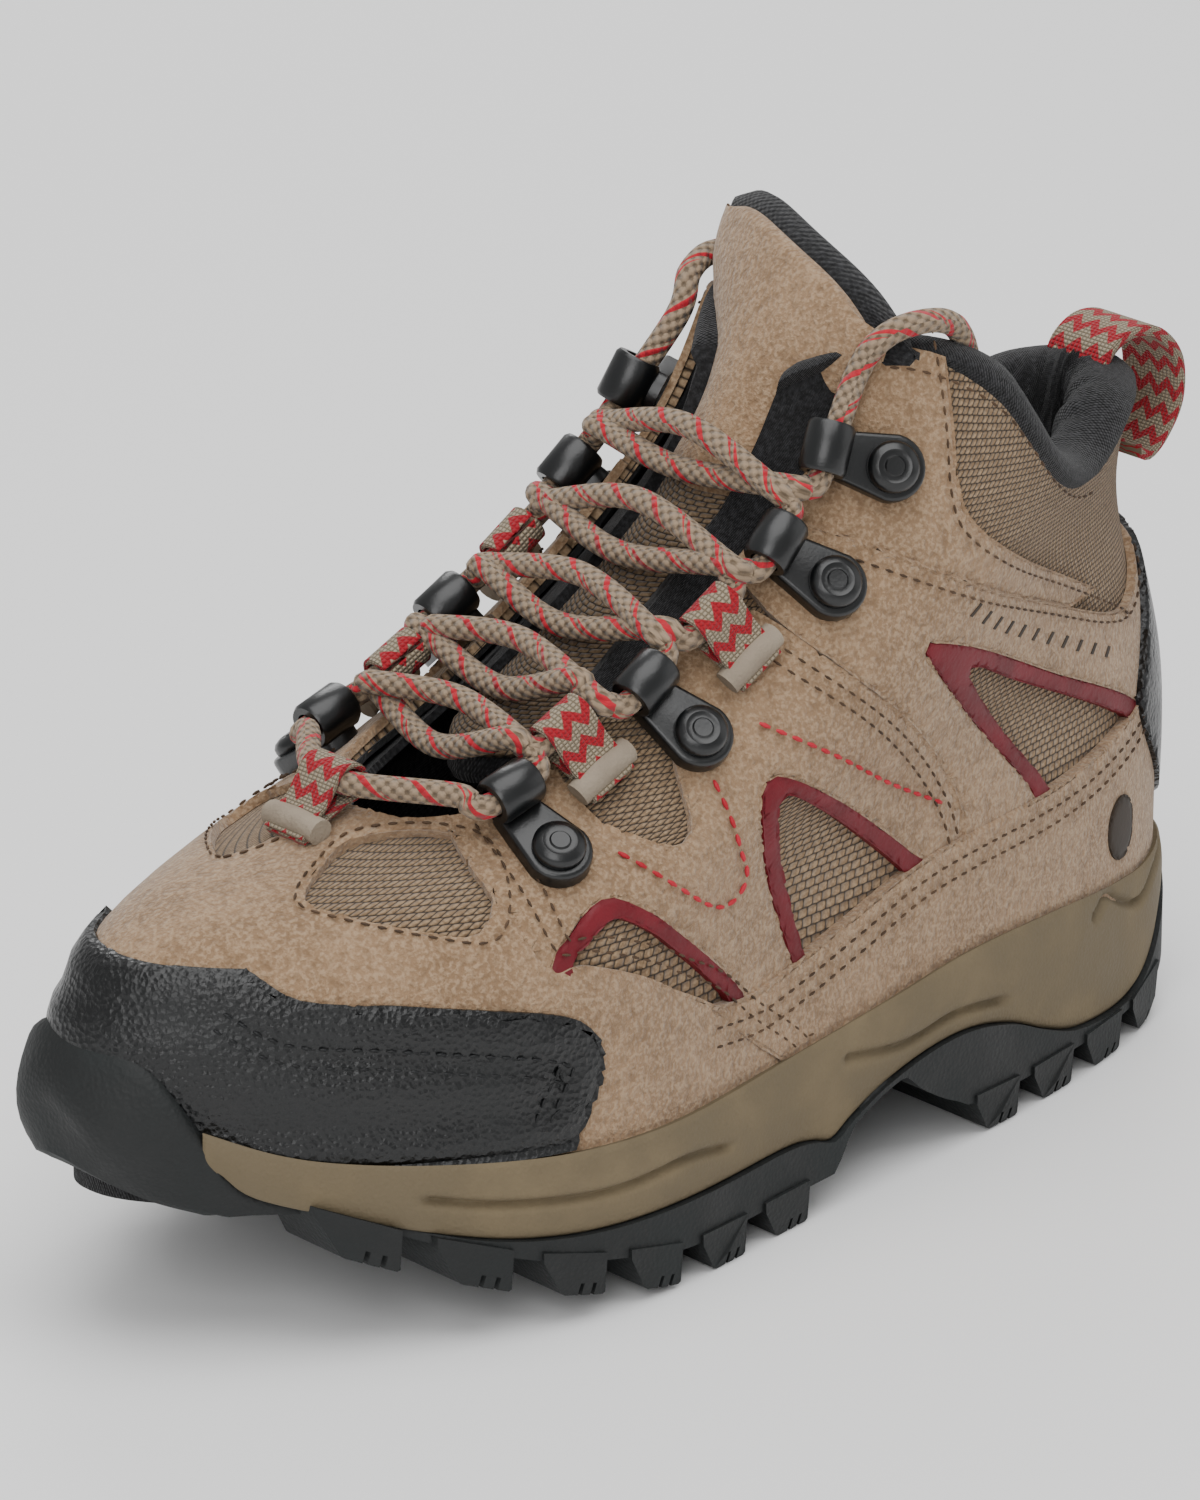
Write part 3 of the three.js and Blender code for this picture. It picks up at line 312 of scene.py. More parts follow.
def beside(line: Points, distance: float) -> Points:
    """An open flat line moved to its left by a distance.

    Args:
        line: its points.
        distance: how far, to the left.

    Returns:
        The moved points.
    """
    way = np.gradient(line, axis=0)
    way /= np.maximum(np.linalg.norm(way, axis=1, keepdims=True), 1e-9)
    return line + np.stack([-way[:, 1], way[:, 0]], -1) * distance


def inside(points: Points, outline: Points) -> np.ndarray:
    """Which flat points lie inside a closed outline.

    Args:
        points: flat points.
        outline: the closed outline.

    Returns:
        True for each point that lies inside.
    """
    x, y = points[:, 0], points[:, 1]
    result = np.zeros(len(points), bool)
    for (ax, ay), (bx, by) in zip(outline, np.roll(outline, -1, axis=0)):
        if ay == by:
            continue
        crosses = (ay > y) != (by > y)
        result ^= crosses & (x < (bx - ax) * (y - ay) / (by - ay) + ax)
    return result


def distance_to(points: Points, line: Points, closed: bool = True) -> Points:
    """Distance from flat points to a line.

    Args:
        points: flat points.
        line: the line's points.
        closed: whether the line comes back to its start.

    Returns:
        The distances.
    """
    ends = np.roll(line, -1, axis=0) if closed else line[1:]
    best = np.full(len(points), 1e9)
    for a, b in zip(line, ends):
        way = b - a
        along = np.clip(((points - a) @ way) / max(way @ way, 1e-12), 0, 1)
        best = np.minimum(best, np.linalg.norm(points - a - along[:, None] * way, axis=1))
    return best


# Side-view seam lines and windows (x, z), in millimetres.
COLLAR_LINE = [
    (20, 170), (30, 142), (36, 143), (44, 146.5), (52, 147), (60, 143.5), (68, 137), (74, 129), (80, 121.5),
    (87, 116), (94, 113), (101, 113), (108, 115.5), (116, 119), (126, 120.5), (134, 120.5),
]
FOXING_LINE = [
    (-12, 46.5), (0, 45.5), (12, 47.5), (28, 51.5), (44, 55.5), (60, 57), (85, 57.5), (100, 59), (114, 62),
    (134, 69),
]
VAMP_SEAM = [
    (-46, 84), (-50, 74), (-48, 63), (-40, 61.5), (-29, 57), (-21, 52), (-12, 46.5), (-3, 38), (8, 29), (14, 20),
]
QUARTER_SEAM = [(4, 116), (16, 106), (23, 99), (36, 88), (46, 78.5), (52, 71), (56, 64), (58, 57)]
QUARTER_TOP = [
    (14, 128), (27, 120), (36, 115.5), (55, 106), (84, 92.5), (105, 83.5), (114, 81.5), (121, 84.5), (127, 91),
    (134, 97),
]
MESH_BORDER = [(58, 160), (57, 135), (56, 123), (58, 116), (68, 108), (92, 94.5), (110, 84.5), (114, 81.5)]
TOE_CAP_LINE = [(-91, 66), (-85, 61.5), (-70, 59.5), (-48, 55), (-40.5, 50), (-40, 43), (-45, 34), (-50, 24)]
HEEL_CAP_LINE = [
    (134, 101), (130, 98), (124, 84), (118, 71), (115, 63), (117, 57), (123, 48), (130, 38), (134, 34)
]
FRONT_WINDOW = [(-46.5, 60.5), (-41, 67.5), (-34, 71), (-28.5, 69.5), (-20, 63), (-3, 45.5), (-6, 36), (-40, 36)]
FRONT_TRIM = [(-43, 60), (-38, 65.8), (-33, 68), (-29, 66.5), (-22, 61), (-7, 45.5), (-9, 36), (-40, 36)]
MIDDLE_WINDOW = [
    (11, 46.5), (5.5, 62), (2.5, 75), (4.5, 81.5), (9.5, 82), (24, 73.5), (42.5, 58.5), (47, 53), (40, 40),
    (14, 40),
]
MIDDLE_TRIM = [
    (14, 46.5), (9, 64), (6.5, 75), (7.5, 78.5), (11, 78.5), (23, 70.5), (39.5, 56.5), (42, 52), (38, 40),
    (16, 40),
]
REAR_WINDOW = [
    (44, 96), (47, 97), (60, 92), (84, 79.5), (116, 62.5), (120, 50), (80, 50), (78.5, 58), (67, 70.5), (52, 86),
]
REAR_TRIM = [(57, 87.5), (60, 88.5), (72, 82), (112, 61), (116, 50), (86, 50), (83, 58), (70, 72)]
WEDGE_FRONT = [(-27, 83), (-24, 100), (-6, 100), (-10, 86), (-12, 78), (-16, 76), (-22, 78)]
WEDGE_REAR = [(2, 96), (-2, 112), (12, 118), (17, 106), (24, 98.5), (36, 87.5), (48.5, 74), (30, 84.5), (12, 92)]
VAMP_WINDOW = [(-76, -10), (-69, -6.5), (-60, -6), (-47, -18), (-49, -27), (-56, -31), (-66, -24), (-74, -15)]
THROAT_PLAN = [(-55, 0), (-53, 7), (-47, 13), (-38, 16.5), (-20, 17.5), (10, 18), (38, 19)]
RED_SEAM_FRONT = [(-27, 76), (-20, 71), (-9, 64), (-2, 67), (-4, 74), (-5, 84)]
RED_SEAM_REAR = [(7, 91), (23, 82), (39, 72), (53, 64)]
UNDER = -16.0  # pattern height well below the feather line
ABOVE = RISE + 40.0  # pattern height well above the collar


def seam(line: Line) -> Points:
    """A side-view line, smoothed, as pattern points on the outer side."""
    return LAST.locate(spline(line))


def window(loop: Line) -> Points:
    """A closed side-view loop, smoothed, as pattern points on the outer side."""
    return LAST.locate(spline(loop, closed=True))


def eased(share: Points) -> Points:
    """A share of 0..1 that starts and ends gently."""
    return share * share * (3 - 2 * share)


def turned(line: Points, side: Side) -> Points:
    """Pattern points of the outer side, on the given side."""
    return line * np.array([side.value, 1])


def about_toe(path: Points) -> Points:
    """A closed outline from an outer path and its mirror image round the toe."""
    return np.concatenate([path, (path * np.array([-1, 1]))[::-1]])


def about_heel(path: Points) -> Points:
    """A closed outline from an outer path and its mirror image round the heel."""
    return np.concatenate([path, (path * np.array([-1, 1]) + np.array([GIRTH, 0]))[::-1]])


def closed_by(path: Points, *corners: tuple[float, float]) -> Points:
    """A path with further corners."""
    return np.concatenate([path, np.array(corners, float)])


def throat_line(side: Side, extra: float = 0.0) -> Points:
    """Edge of the tongue opening from its front end to past the collar.

    Args:
        side: which edge.
        extra: how much wider than the opening.

    Returns:
        Pattern points, from the toe end up.
    """
    half = np.array([(x, -side.value * (y + (extra if y else 0))) for x, y in spline(THROAT_PLAN)])
    line = LAST.locate_plan(half)
    return closed_by(line, (line[-1, 0] + side.value * 22, ABOVE))


def throat(extra: float = 0.0) -> Points:
    """Closed outline of the tongue opening."""
    return np.concatenate([throat_line(Side.OUTER, extra), throat_line(Side.INNER, extra)[::-1]])


# ------------------------------------------------------------------ meshes


@dataclass
class Frame:
    """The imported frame, and how the pattern's millimetres become its metres."""

    shift: Vector = field(init=False)
    made: int = 0

    def __post_init__(self) -> None:
        """Finds the shift from the shank, whose middle is known in both."""
        low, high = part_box("shank")
        self.shift = (low + high) / 2 - Vector((SHANK_MIDDLE * MM, 0, 0))
        self.shift.z = 0

    def piece(
        self,
        bm: Shape,
        name: str,
        finish: Material,
        slot: str,
        body: str = "boot",
        nodes: Sequence[str] = (),
        crease: float = 50.0,
    ) -> bpy.types.Object:
        """Turns a finished bmesh, in pattern millimetres, into a piece of the boot.

        Args:
            bm: the shape, which is used up.
            name: the piece's name.
            finish: its material.
            slot: not used.
            body: the frame body it rides on.
            nodes: the frame nodes it replaces.
            crease: the angle in degrees above which an edge stays sharp.

        Returns:
            The new object.
        """
        for vertex in bm.verts:
            vertex.co = vertex.co * MM + self.shift
        bmesh.ops.recalc_face_normals(bm, faces=bm.faces)
        for face in bm.faces:
            face.smooth = True
        for edge in bm.edges:
            edge.smooth = len(edge.link_faces) == 2 and edge.calc_face_angle(0.0) < math.radians(crease)
        mesh = bpy.data.meshes.new(name)
        bm.to_mesh(mesh)
        bm.free()
        mesh.materials.append(finish)
        thing = bpy.data.objects.new(name, mesh)
        bpy.context.scene.collection.objects.link(thing)
        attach(thing, body)
        if nodes:
            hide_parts(*nodes)
        self.made += 1
        log.info("%s: %d faces on %s", name, len(mesh.polygons), body)
        return thing


def write_uv(bm: Shape, coordinates: Callable[[Vector], tuple[float, float]]) -> None:
    """Writes a pattern UV from each vertex's present place.

    Args:
        bm: the shape.
        coordinates: gives a vertex's pattern place in millimetres.
    """
    layer = bm.loops.layers.uv.verify()
    for face in bm.faces:
        for loop in face.loops:
            u, v = coordinates(loop.vert.co)
            loop[layer].uv = (u * UV_PER_MM, v * UV_PER_MM)


def move_all(bm: Shape, place: Callable[[Points], Points]) -> None:
    """Moves every vertex at once to where place() says.

    Args:
        bm: the shape.
        place: turns all the old places into new ones.
    """
    spots = place(np.array([v.co for v in bm.verts], float))
    for vertex, spot in zip(bm.verts, spots):
        vertex.co = spot


def placed_grid(columns: int, rows: int, size: tuple[float, float], place: Place) -> Shape:
    """A grid laid out as place(u, v) says, for u and v from 0 to 1, with its doubles merged.

    Args:
        columns: faces along u.
        rows: faces along v.
        size: the grid's real length along u and v in millimetres, for its pattern UV.
        place: gives the points in millimetres.

    Returns:
        The shape.
    """
    bm = bmesh.new()
    bmesh.ops.create_grid(bm, x_segments=columns, y_segments=rows, size=0.5)
    write_uv(bm, lambda co: ((co.x + 0.5) * size[0], (co.y + 0.5) * size[1]))
    move_all(bm, lambda co: place(co[:, 0] + 0.5, co[:, 1] + 0.5))
    bmesh.ops.remove_doubles(bm, verts=bm.verts, dist=0.02)
    return bm


def join(parts: Sequence[Shape]) -> Shape:
    """Several shapes as one bmesh; the parts are used up.

    Args:
        parts: the shapes.

    Returns:
        The whole.
    """
    whole = bmesh.new()
    for part in parts:
        mesh = bpy.data.meshes.new("part")
        part.to_mesh(mesh)
        whole.from_mesh(mesh)
        part.free()
        bpy.data.meshes.remove(mesh)
    return whole


def cap_ends(bm: Shape) -> Shape:
    """Closes every open rim with a face.

    Args:
        bm: the shape.

    Returns:
        The same shape.
    """
    rims = [edge for edge in bm.edges if edge.is_boundary]
    bmesh.ops.holes_fill(bm, edges=rims, sides=0)
    return bm


def frames_along(path: Points, up: Sequence[float] | None = None) -> tuple[Points, Points, Points]:
    """Tangents and two cross directions along a path, carried on without twist.

    Args:
        path: the path's points.
        up: a fixed direction for the first cross direction to lean towards, or None.

    Returns:
        The tangents, the first and the second cross directions.
    """
    tangent = np.gradient(path, axis=0)
    tangent /= np.linalg.norm(tangent, axis=1, keepdims=True)
    guide = np.array(up if up is not None else (0.0, 0.0, 1.0), float)
    first = []
    for way in tangent:
        cross = guide - way * (guide @ way)
        cross /= np.linalg.norm(cross)
        first.append(cross)
        if up is None:
            guide = cross
    first = np.array(first)
    return tangent, first, np.cross(tangent, first)


def sweep(path: Points, section: Points, up: Sequence[float] | None = None, closed: bool = False) -> Shape:
    """A closed section carried along a path.

    Args:
        path: the path's points.
        section: the section's points (across, out), in order round it.
        up: the direction that the section's second axis leans towards.
        closed: whether the path comes back to its start.

    Returns:
        The shape, with capped ends.
    """
    _, first, second = frames_along(path, up)
    if closed:
        path, first, second = (np.concatenate([a, a[:1]]) for a in (path, first, second))
    ring = np.concatenate([section, section[:1]])
    count, sides = len(path) - 1, len(section)
    length = float(np.linalg.norm(np.diff(path, axis=0), axis=1).sum())
    girth = float(np.linalg.norm(np.diff(ring, axis=0), axis=1).sum())

    def place(u: Points, v: Points) -> Points:
        """Point of the swept surface.

        Args:
            u: shares along.
            v: shares round.

        Returns:
            The points.
        """
        i = np.clip(np.rint(u * count).astype(int), 0, count)
        j = np.clip(np.rint(v * sides).astype(int), 0, sides)
        return path[i] + second[i] * ring[j, :1] + first[i] * ring[j, 1:]

    return cap_ends(placed_grid(count, sides, (length, girth), place))


def circle(radius: float, sides: int) -> Points:
    """A round section."""
    turn = np.linspace(0, 2 * np.pi, sides, endpoint=False)
    return np.stack([np.cos(turn), np.sin(turn)], -1) * radius


def strap(width: float, thickness: float, corner: float = 0.5) -> Points:
    """A flat section with rounded edges, fine enough across to carry a woven figure.

    Args:
        width: its width.
        thickness: its thickness.
        corner: how far the rounding reaches in.

    Returns:
        The section, in order round it.
    """
    half, edge = width / 2, thickness / 2
    top = [(x, edge) for x in np.linspace(half - corner, corner - half, 7)]
    return np.array([(half, 0), *top, (-half, 0), *[(-x, -z) for x, z in top]])


class Cut(Enum):
    """Which side of an outline a cut leaves."""

    KEEP_INSIDE = True
    KEEP_OUTSIDE = False


class PatternPiece:
    """A flat pattern piece: girth s along x, height t along y. It is cut, thickened and lasted."""

    def __init__(self, s_span: tuple[float, float], t_span: tuple[float, float], step: float = 2.4) -> None:
        """Lays out a plain sheet.

        Args:
            s_span: its ends in girth.
            t_span: its ends in height.
            step: size of its faces.
        """
        self.step = step
        width, height = s_span[1] - s_span[0], t_span[1] - t_span[0]
        self.bm = bmesh.new()
        columns, rows = (max(int(round(size / step)), 1) for size in (width, height))
        bmesh.ops.create_grid(self.bm, x_segments=columns, y_segments=rows, size=0.5)
        bmesh.ops.scale(self.bm, vec=(width, height, 1), verts=self.bm.verts)
        middle = (sum(s_span) / 2, sum(t_span) / 2, 0)
        bmesh.ops.translate(self.bm, vec=middle, verts=self.bm.verts)

    def cut(self, outline: Points, keep: Cut) -> PatternPiece:
        """Cuts along a closed outline and drops one side of it.

        Args:
            outline: the closed outline.
            keep: which side stays.

        Returns:
            The piece itself.
        """
        bm = self.bm
        faces = list(bm.faces)
        centres = np.array([f.calc_center_median() for f in faces])[:, :2]
        close = distance_to(centres, outline) < self.step * 2
        near = {face: self.box(face) for face, is_close in zip(faces, close) if is_close}
        for a, b in zip(outline, np.roll(outline, -1, axis=0)):
            way = b - a
            if np.linalg.norm(way) < 1e-6:
                continue
            left, right = min(a[0], b[0]) - 0.05, max(a[0], b[0]) + 0.05
            low, high = min(a[1], b[1]) - 0.05, max(a[1], b[1]) + 0.05
            chosen = [
                f for f, k in near.items() if k[1] >= left and k[0] <= right and k[3] >= low and k[2] <= high
            ]
            if not chosen:
                continue
            geometry = chosen + list({e for f in chosen for e in f.edges}) + list(
                {v for f in chosen for v in f.verts}
            )
            made = bmesh.ops.bisect_plane(
                bm, geom=geometry, dist=1e-4, plane_co=(a[0], a[1], 0), plane_no=(way[1], -way[0], 0)
            )
            for face in chosen:
                near[face] = self.box(face)
            near.update({item: self.box(item) for item in made["geom"] if isinstance(item, bmesh.types.BMFace)})
        faces = list(bm.faces)
        centres = np.array([f.calc_center_median() for f in faces])[:, :2]
        within = inside(centres, outline)
        drop = [f for f, is_in in zip(faces, within) if is_in != keep.value]
        bmesh.ops.delete(bm, geom=drop, context="FACES")
        return self

    @staticmethod
    def box(face: bmesh.types.BMFace) -> tuple[float, float, float, float]:
        """Left, right, low and high of a flat face.

        Args:
            face: the face.

        Returns:
            The four limits.
        """
        xs = [v.co.x for v in face.verts]
        ys = [v.co.y for v in face.verts]
        return min(xs), max(xs), min(ys), max(ys)

    def lasted(
        self, inner: float, outer: float, rounding: float = 0.5, puff: float = 0.0, welt: float = 0.0
    ) -> Shape:
        """Thickens the piece, rolls its top rim over and lays it on the last.

        Args:
            inner: distance of its underside from the last.
            outer: distance of its top.
            rounding: how far in from the rim the roll starts.
            puff: how far the middle swells beyond the rim.
            welt: depth of the groove that sets off a rim five millimetres wide.

        Returns:
            The shape in millimetres.
        """
        bm = self.bm
        bmesh.ops.remove_doubles(bm, verts=bm.verts, dist=0.3)
        bmesh.ops.dissolve_degenerate(bm, dist=0.05, edges=bm.edges)
        for vertex in bm.verts:
            vertex.co.z = 0
        rim = np.array([(e.verts[0].co[:2], e.verts[1].co[:2]) for e in bm.edges if e.is_boundary])
        made = bmesh.ops.extrude_face_region(bm, geom=list(bm.faces))["geom"]
        top = [item for item in made if isinstance(item, bmesh.types.BMFace)]
        for item in made:
            if isinstance(item, bmesh.types.BMVert):
                item.co.z = outer - inner
        if rounding:
            edge = {v for f in top for e in f.edges if self.on_rim(e) for v in e.verts}
            bmesh.ops.inset_region(bm, faces=top, thickness=rounding, use_boundary=True, use_even_offset=True)
            for vertex in edge:
                vertex.co.z -= rounding * 0.8
        write_uv(bm, lambda co: (co.x, co.y))

        def place(co: Points) -> Points:
            """Lays the flat piece on the last, swollen away from its rim.

            Args:
                co: flat places.

            Returns:
                The points.
            """
            out = inner + co[:, 2]
            if puff or welt:
                far = np.full(len(co), 1e9)
                middles = rim.mean(1)
                for start in range(0, len(co), 2000):
                    part = co[start : start + 2000, None, :2] - middles[None]
                    far[start : start + 2000] = np.sqrt((part**2).sum(-1).min(1))
                raised = puff * (1 - np.exp(-far / 4)) - welt * np.exp(-(((far - 6.2) / 1.7) ** 2))
                out = out + raised * (co[:, 2] > 0.01)
            return LAST.place(co[:, 0], co[:, 1], out)

        move_all(bm, place)
        return bm

    @staticmethod
    def on_rim(edge: bmesh.types.BMEdge) -> bool:
        """Whether an edge parts the top from the side wall."""
        return any(abs(f.normal.z) < 0.5 for f in edge.link_faces) or len(edge.link_faces) < 2


@dataclass
class Thread:
    """Rows of stitches in one thread, gathered into one piece."""

    name: str
    length: float = 1.9
    width: float = 0.55
    pitch: float = 2.9
    gap: Points = field(default_factory=lambda: throat(1.2))
    spots: list = field(default_factory=list)

    def row(self, line: Points, out: float, pitch: float | None = None) -> None:
        """Adds a row along a line of pattern points, at a distance from the last.

        Args:
            line: pattern points.
            out: distance from the last.
            pitch: distance between stitches, or None for the thread's own.
        """
        closed_over = ~inside(line, self.gap)
        for run in np.split(np.arange(len(line)), np.nonzero(np.diff(closed_over))[0] + 1):
            if len(run) > 2 and closed_over[run[0]]:
                fine = resample(LAST.place(line[run, 0], line[run, 1], out), 0.4)
                self.path(fine, LAST.normal(line[run, 0], line[run, 1]), pitch)

    def path(self, fine: Points, normals: Points, pitch: float | None = None) -> None:
        """Adds a row along a path of points, whose normals are given from end to end.

        Args:
            fine: closely spaced points.
            normals: outward directions along them.
            pitch: as in row().
        """
        run = np.concatenate([[0], np.cumsum(np.linalg.norm(np.diff(fine, axis=0), axis=1))])
        at = np.arange(0.8, run[-1] - 0.8, pitch or self.pitch)
        share = at / run[-1] * (len(normals) - 1)
        for place, k in zip(at, share):
            middle = [np.interp(place, run, fine[:, i]) for i in range(3)]
            ahead = [np.interp(place + 0.5, run, fine[:, i]) for i in range(3)]
            behind = [np.interp(place - 0.5, run, fine[:, i]) for i in range(3)]
            way = Vector(ahead) - Vector(behind)
            up = Vector(normals[int(round(k))])
            if way.length > 1e-6:
                self.spots.append((Vector(middle), way.normalized(), up))

    def sewn(self) -> Shape:
        """All the stitches as one shape.

        Returns:
            The shape in millimetres.
        """
        bm = bmesh.new()
        for middle, way, up in self.spots:
            across = up.cross(way).normalized()
            rise = way.cross(across)
            turn = Matrix((way * self.length / 2, across * self.width / 2, rise * self.width / 2)).transposed()
            spot = Matrix.Translation(middle) @ turn.to_4x4()
            bmesh.ops.create_uvsphere(bm, u_segments=6, v_segments=4, radius=1, matrix=spot)
        return bm


# ------------------------------------------------------------------ finishes


def linear(code: str) -> tuple[float, float, float, float]:
    """A linear colour from an sRGB hex code."""
    values = [int(code[i : i + 2], 16) / 255 for i in (0, 2, 4)]
    return (*[v / 12.92 if v <= 0.04045 else ((v + 0.055) / 1.055) ** 2.4 for v in values], 1.0)


class Look:
    """A material under construction: its tree, its shader and the coordinates that its patterns read."""

    def __init__(self, name: str, **shader: object) -> None:
        """Starts a principled material.

        Args:
            name: what the real material is.
            shader: plain values for the shader's own sockets.
        """
        self.material = bpy.data.materials.new(name)
        self.material.use_nodes = True
        self.tree = self.material.node_tree
        self.tree.nodes.clear()
        self.shader = self.add("BsdfPrincipled")
        for key, value in shader.items():
            self.shader.inputs[key.replace("_", " ")].default_value = value
        self.add("OutputMaterial", self.shader)
        self.object = self.add("TexCoord").outputs["Object"]

    def feed(self, socket: Socket, value: object) -> None:
        """Links a node's first output or any output to a socket, or sets the socket's plain value.

        Args:
            socket: the input to feed.
            value: a node, an output or a plain value.
        """
        if isinstance(value, bpy.types.Node):
            value = value.outputs[0]
        if isinstance(value, Socket):
            self.tree.links.new(value, socket)
        else:
            socket.default_value = value

    def add(self, kind: str, *values: object, **named: object) -> bpy.types.Node:
        """Adds a node with its settings and links.

        Args:
            kind: the node's type, without its prefix.
            values: its first inputs in order, as feed() takes them.
            named: the node's own settings, and inputs by name (with _ for a space) or by number, such as in6.

        Returns:
            The node.
        """
        made = self.tree.nodes.new("ShaderNode" + kind)
        sockets = dict(enumerate(values))
        for key, value in named.items():
            if hasattr(made, key):
                setattr(made, key, value)
            else:
                sockets[int(key[2:]) if key[2:].isdigit() else key.replace("_", " ")] = value
        for key, value in sockets.items():
            self.feed(made.inputs[key], value)
        return made

    def between(self, value: object, span: tuple, low: object, high: object) -> Socket:
        """A colour that goes from one to another as a value crosses a span.

        Args:
            value: the node that gives the value.
            span: the value's low and high, and the shares of the second colour there.
            low: the first colour.
            high: the second colour.

        Returns:
            The colour.
        """
        share = self.add("MapRange", value, *span, interpolation_type="SMOOTHSTEP")
        return self.add("Mix", share, in6=low, in7=high, data_type="RGBA").outputs[2]

    def pattern(self) -> tuple[bpy.types.Node, bpy.types.Node]:
        """The piece's own pattern coordinates in millimetres."""
        parts = self.add("SeparateXYZ", self.add("UVMap"))
        return tuple(self.add("Math", parts.outputs[i], UV_PER_MM, operation="DIVIDE") for i in (0, 1))

    def finish(self, colour: object, roughness: object, height: object = None, depth_mm: float = 0.3) -> Material:
        """Links colour, roughness and relief.

        Args:
            colour: a colour, or the node that gives it.
            roughness: a value, or the node that gives it.
            height: the node that gives the relief, or None for a smooth surface.
            depth_mm: height of the relief.

        Returns:
            The material.
        """
        self.feed(self.shader.inputs["Base Color"], colour)
        self.feed(self.shader.inputs["Roughness"], roughness)
        if height is not None:
            bump = self.add("Bump", Strength=1.0, Distance=depth_mm * MM, Height=height)
            self.feed(self.shader.inputs["Normal"], bump)
        return self.material


@dataclass(frozen=True)
class Suede:
    """Buffed split leather: a short nap that catches light in grains and shades into soft blotches."""

    tan: str = "90755A"
    shade: str = "6A523B"
    tip: str = "AF967A"
    grain_mm: float = 0.8  # real nap is finer; drawn coarse enough to show
    blotch_mm: float = 14.0

    def dress(self) -> Material:
        """Builds the material.

        Returns:
            The material.
        """
        look = Look("buffed suede", Sheen_Weight=0.25, Sheen_Roughness=0.5, Specular_IOR_Level=0.15)
        add = look.add
        grain = add("TexNoise", look.object, Scale=1 / (self.grain_mm * MM), Detail=4)
        coarse = add("TexNoise", look.object, Scale=1 / (self.grain_mm * 2.6 * MM), Detail=2)
        blotch = add("TexNoise", look.object, Scale=1 / (self.blotch_mm * MM), Detail=3)
        body = look.between(blotch, (0.35, 0.68, 0.0, 0.34), linear(self.tan), linear(self.shade))
        nap = look.between(grain, (0.4, 0.66, 0.0, 0.62), body, linear(self.tip))
        worn = look.between(coarse, (0.52, 0.3, 0.0, 0.45), nap, linear(self.shade))
        height = add("Math", grain, add("Math", coarse, 0.7, operation="MULTIPLY"), operation="ADD")
        return look.finish(worn, 0.95, height, 0.55)


@dataclass(frozen=True)
class CoarseMesh:
    """Coarse basket-woven polyester: rounded bundles in offset rows, with painted shade in the gaps between them.
    """

    yarn: str = "826B52"
    light: str = "9E866A"
    # colour of the painted shade in the gaps between bundles and down their rounded sides
    gap: str = "33281E"
    bundle_mm: float = 1.95
    row_mm: float = 1.3

    def dress(self) -> Material:
        """Builds the material.

        Returns:
            The material.
        """
        look = Look("woven upper mesh", Sheen_Weight=0.15, Specular_IOR_Level=0.2)
        add = look.add
        u, v = look.pattern()
        row = add("Math", v, self.row_mm, operation="DIVIDE")
        odd = add(
            "Math",
            add("Math", add("Math", row, operation="FLOOR"), 2.0, operation="MODULO"),
            0.5,
            operation="MULTIPLY",
        )
        across = add(
            "Math",
            add("Math", add("Math", u, self.bundle_mm, operation="DIVIDE"), odd, operation="ADD"),
            operation="FRACT",
        )
        up = add("Math", row, operation="FRACT")
        lobes = [
            add(
                "Math", add("Math", part, math.pi, operation="MULTIPLY"), operation="SINE"
            ) for part in (across, up)
        ]
        crown = add("Math", *[add("Math", lobe, 0.6, operation="POWER") for lobe in lobes], operation="MULTIPLY")
        crown = add("Math", crown, operation="ABSOLUTE")
        fuzz = add("TexNoise", look.object, Scale=1 / (0.7 * MM), Detail=2)
        yarn = look.between(fuzz, (0.35, 0.7, 0.0, 1.0), linear(self.yarn), linear(self.light))
        # painted shade: the yarn colour darkens to the gap colour as each bundle's crown falls away into the gaps
        colour = look.between(crown, (0.08, 0.62, 0.0, 1.0), linear(self.gap), yarn)
        height = add("Math", crown, add("Math", fuzz, 0.25, operation="MULTIPLY"), operation="ADD")
        return look.finish(colour, 0.9, height, 0.6)


@dataclass(frozen=True)
class Grained:
    """Coated leather or moulded rubber: one colour with a pebbled or dusty surface."""

    name: str
    base: str
    dust: str
    roughness: float
    grain_mm: float
    depth_mm: float
    dusty: float = 0.3
    coat: float = 0.0

    def dress(self) -> Material:
        """Builds the material.

        Returns:
            The material.
        """
        look = Look(self.name, Coat_Weight=self.coat, Coat_Roughness=0.35, Specular_IOR_Level=0.45)
        add = look.add
        pebble = add("TexVoronoi", look.object, Scale=1 / (self.grain_mm * MM))
        cloud = add("TexNoise", look.object, Scale=1 / (16 * MM), Detail=4)
        fine = add("TexNoise", look.object, Scale=1 / (self.grain_mm * 0.6 * MM), Detail=3)
        colour = add(
            "Mix",
            add("MapRange", cloud, 0.4, 0.72, 0.0, self.dusty, interpolation_type="SMOOTHSTEP"),
            in6=linear(self.base),
            in7=linear(self.dust),
            data_type="RGBA",
        ).outputs[2]
        rough = add(
            "MapRange", cloud, 0.3, 0.7, self.roughness - 0.08, self.roughness + 0.1,
            interpolation_type="SMOOTHSTEP",
        )
        height = add("Math", pebble, add("Math", fine, 0.6, operation="MULTIPLY"), operation="ADD")
        return look.finish(colour, rough, height, self.depth_mm)


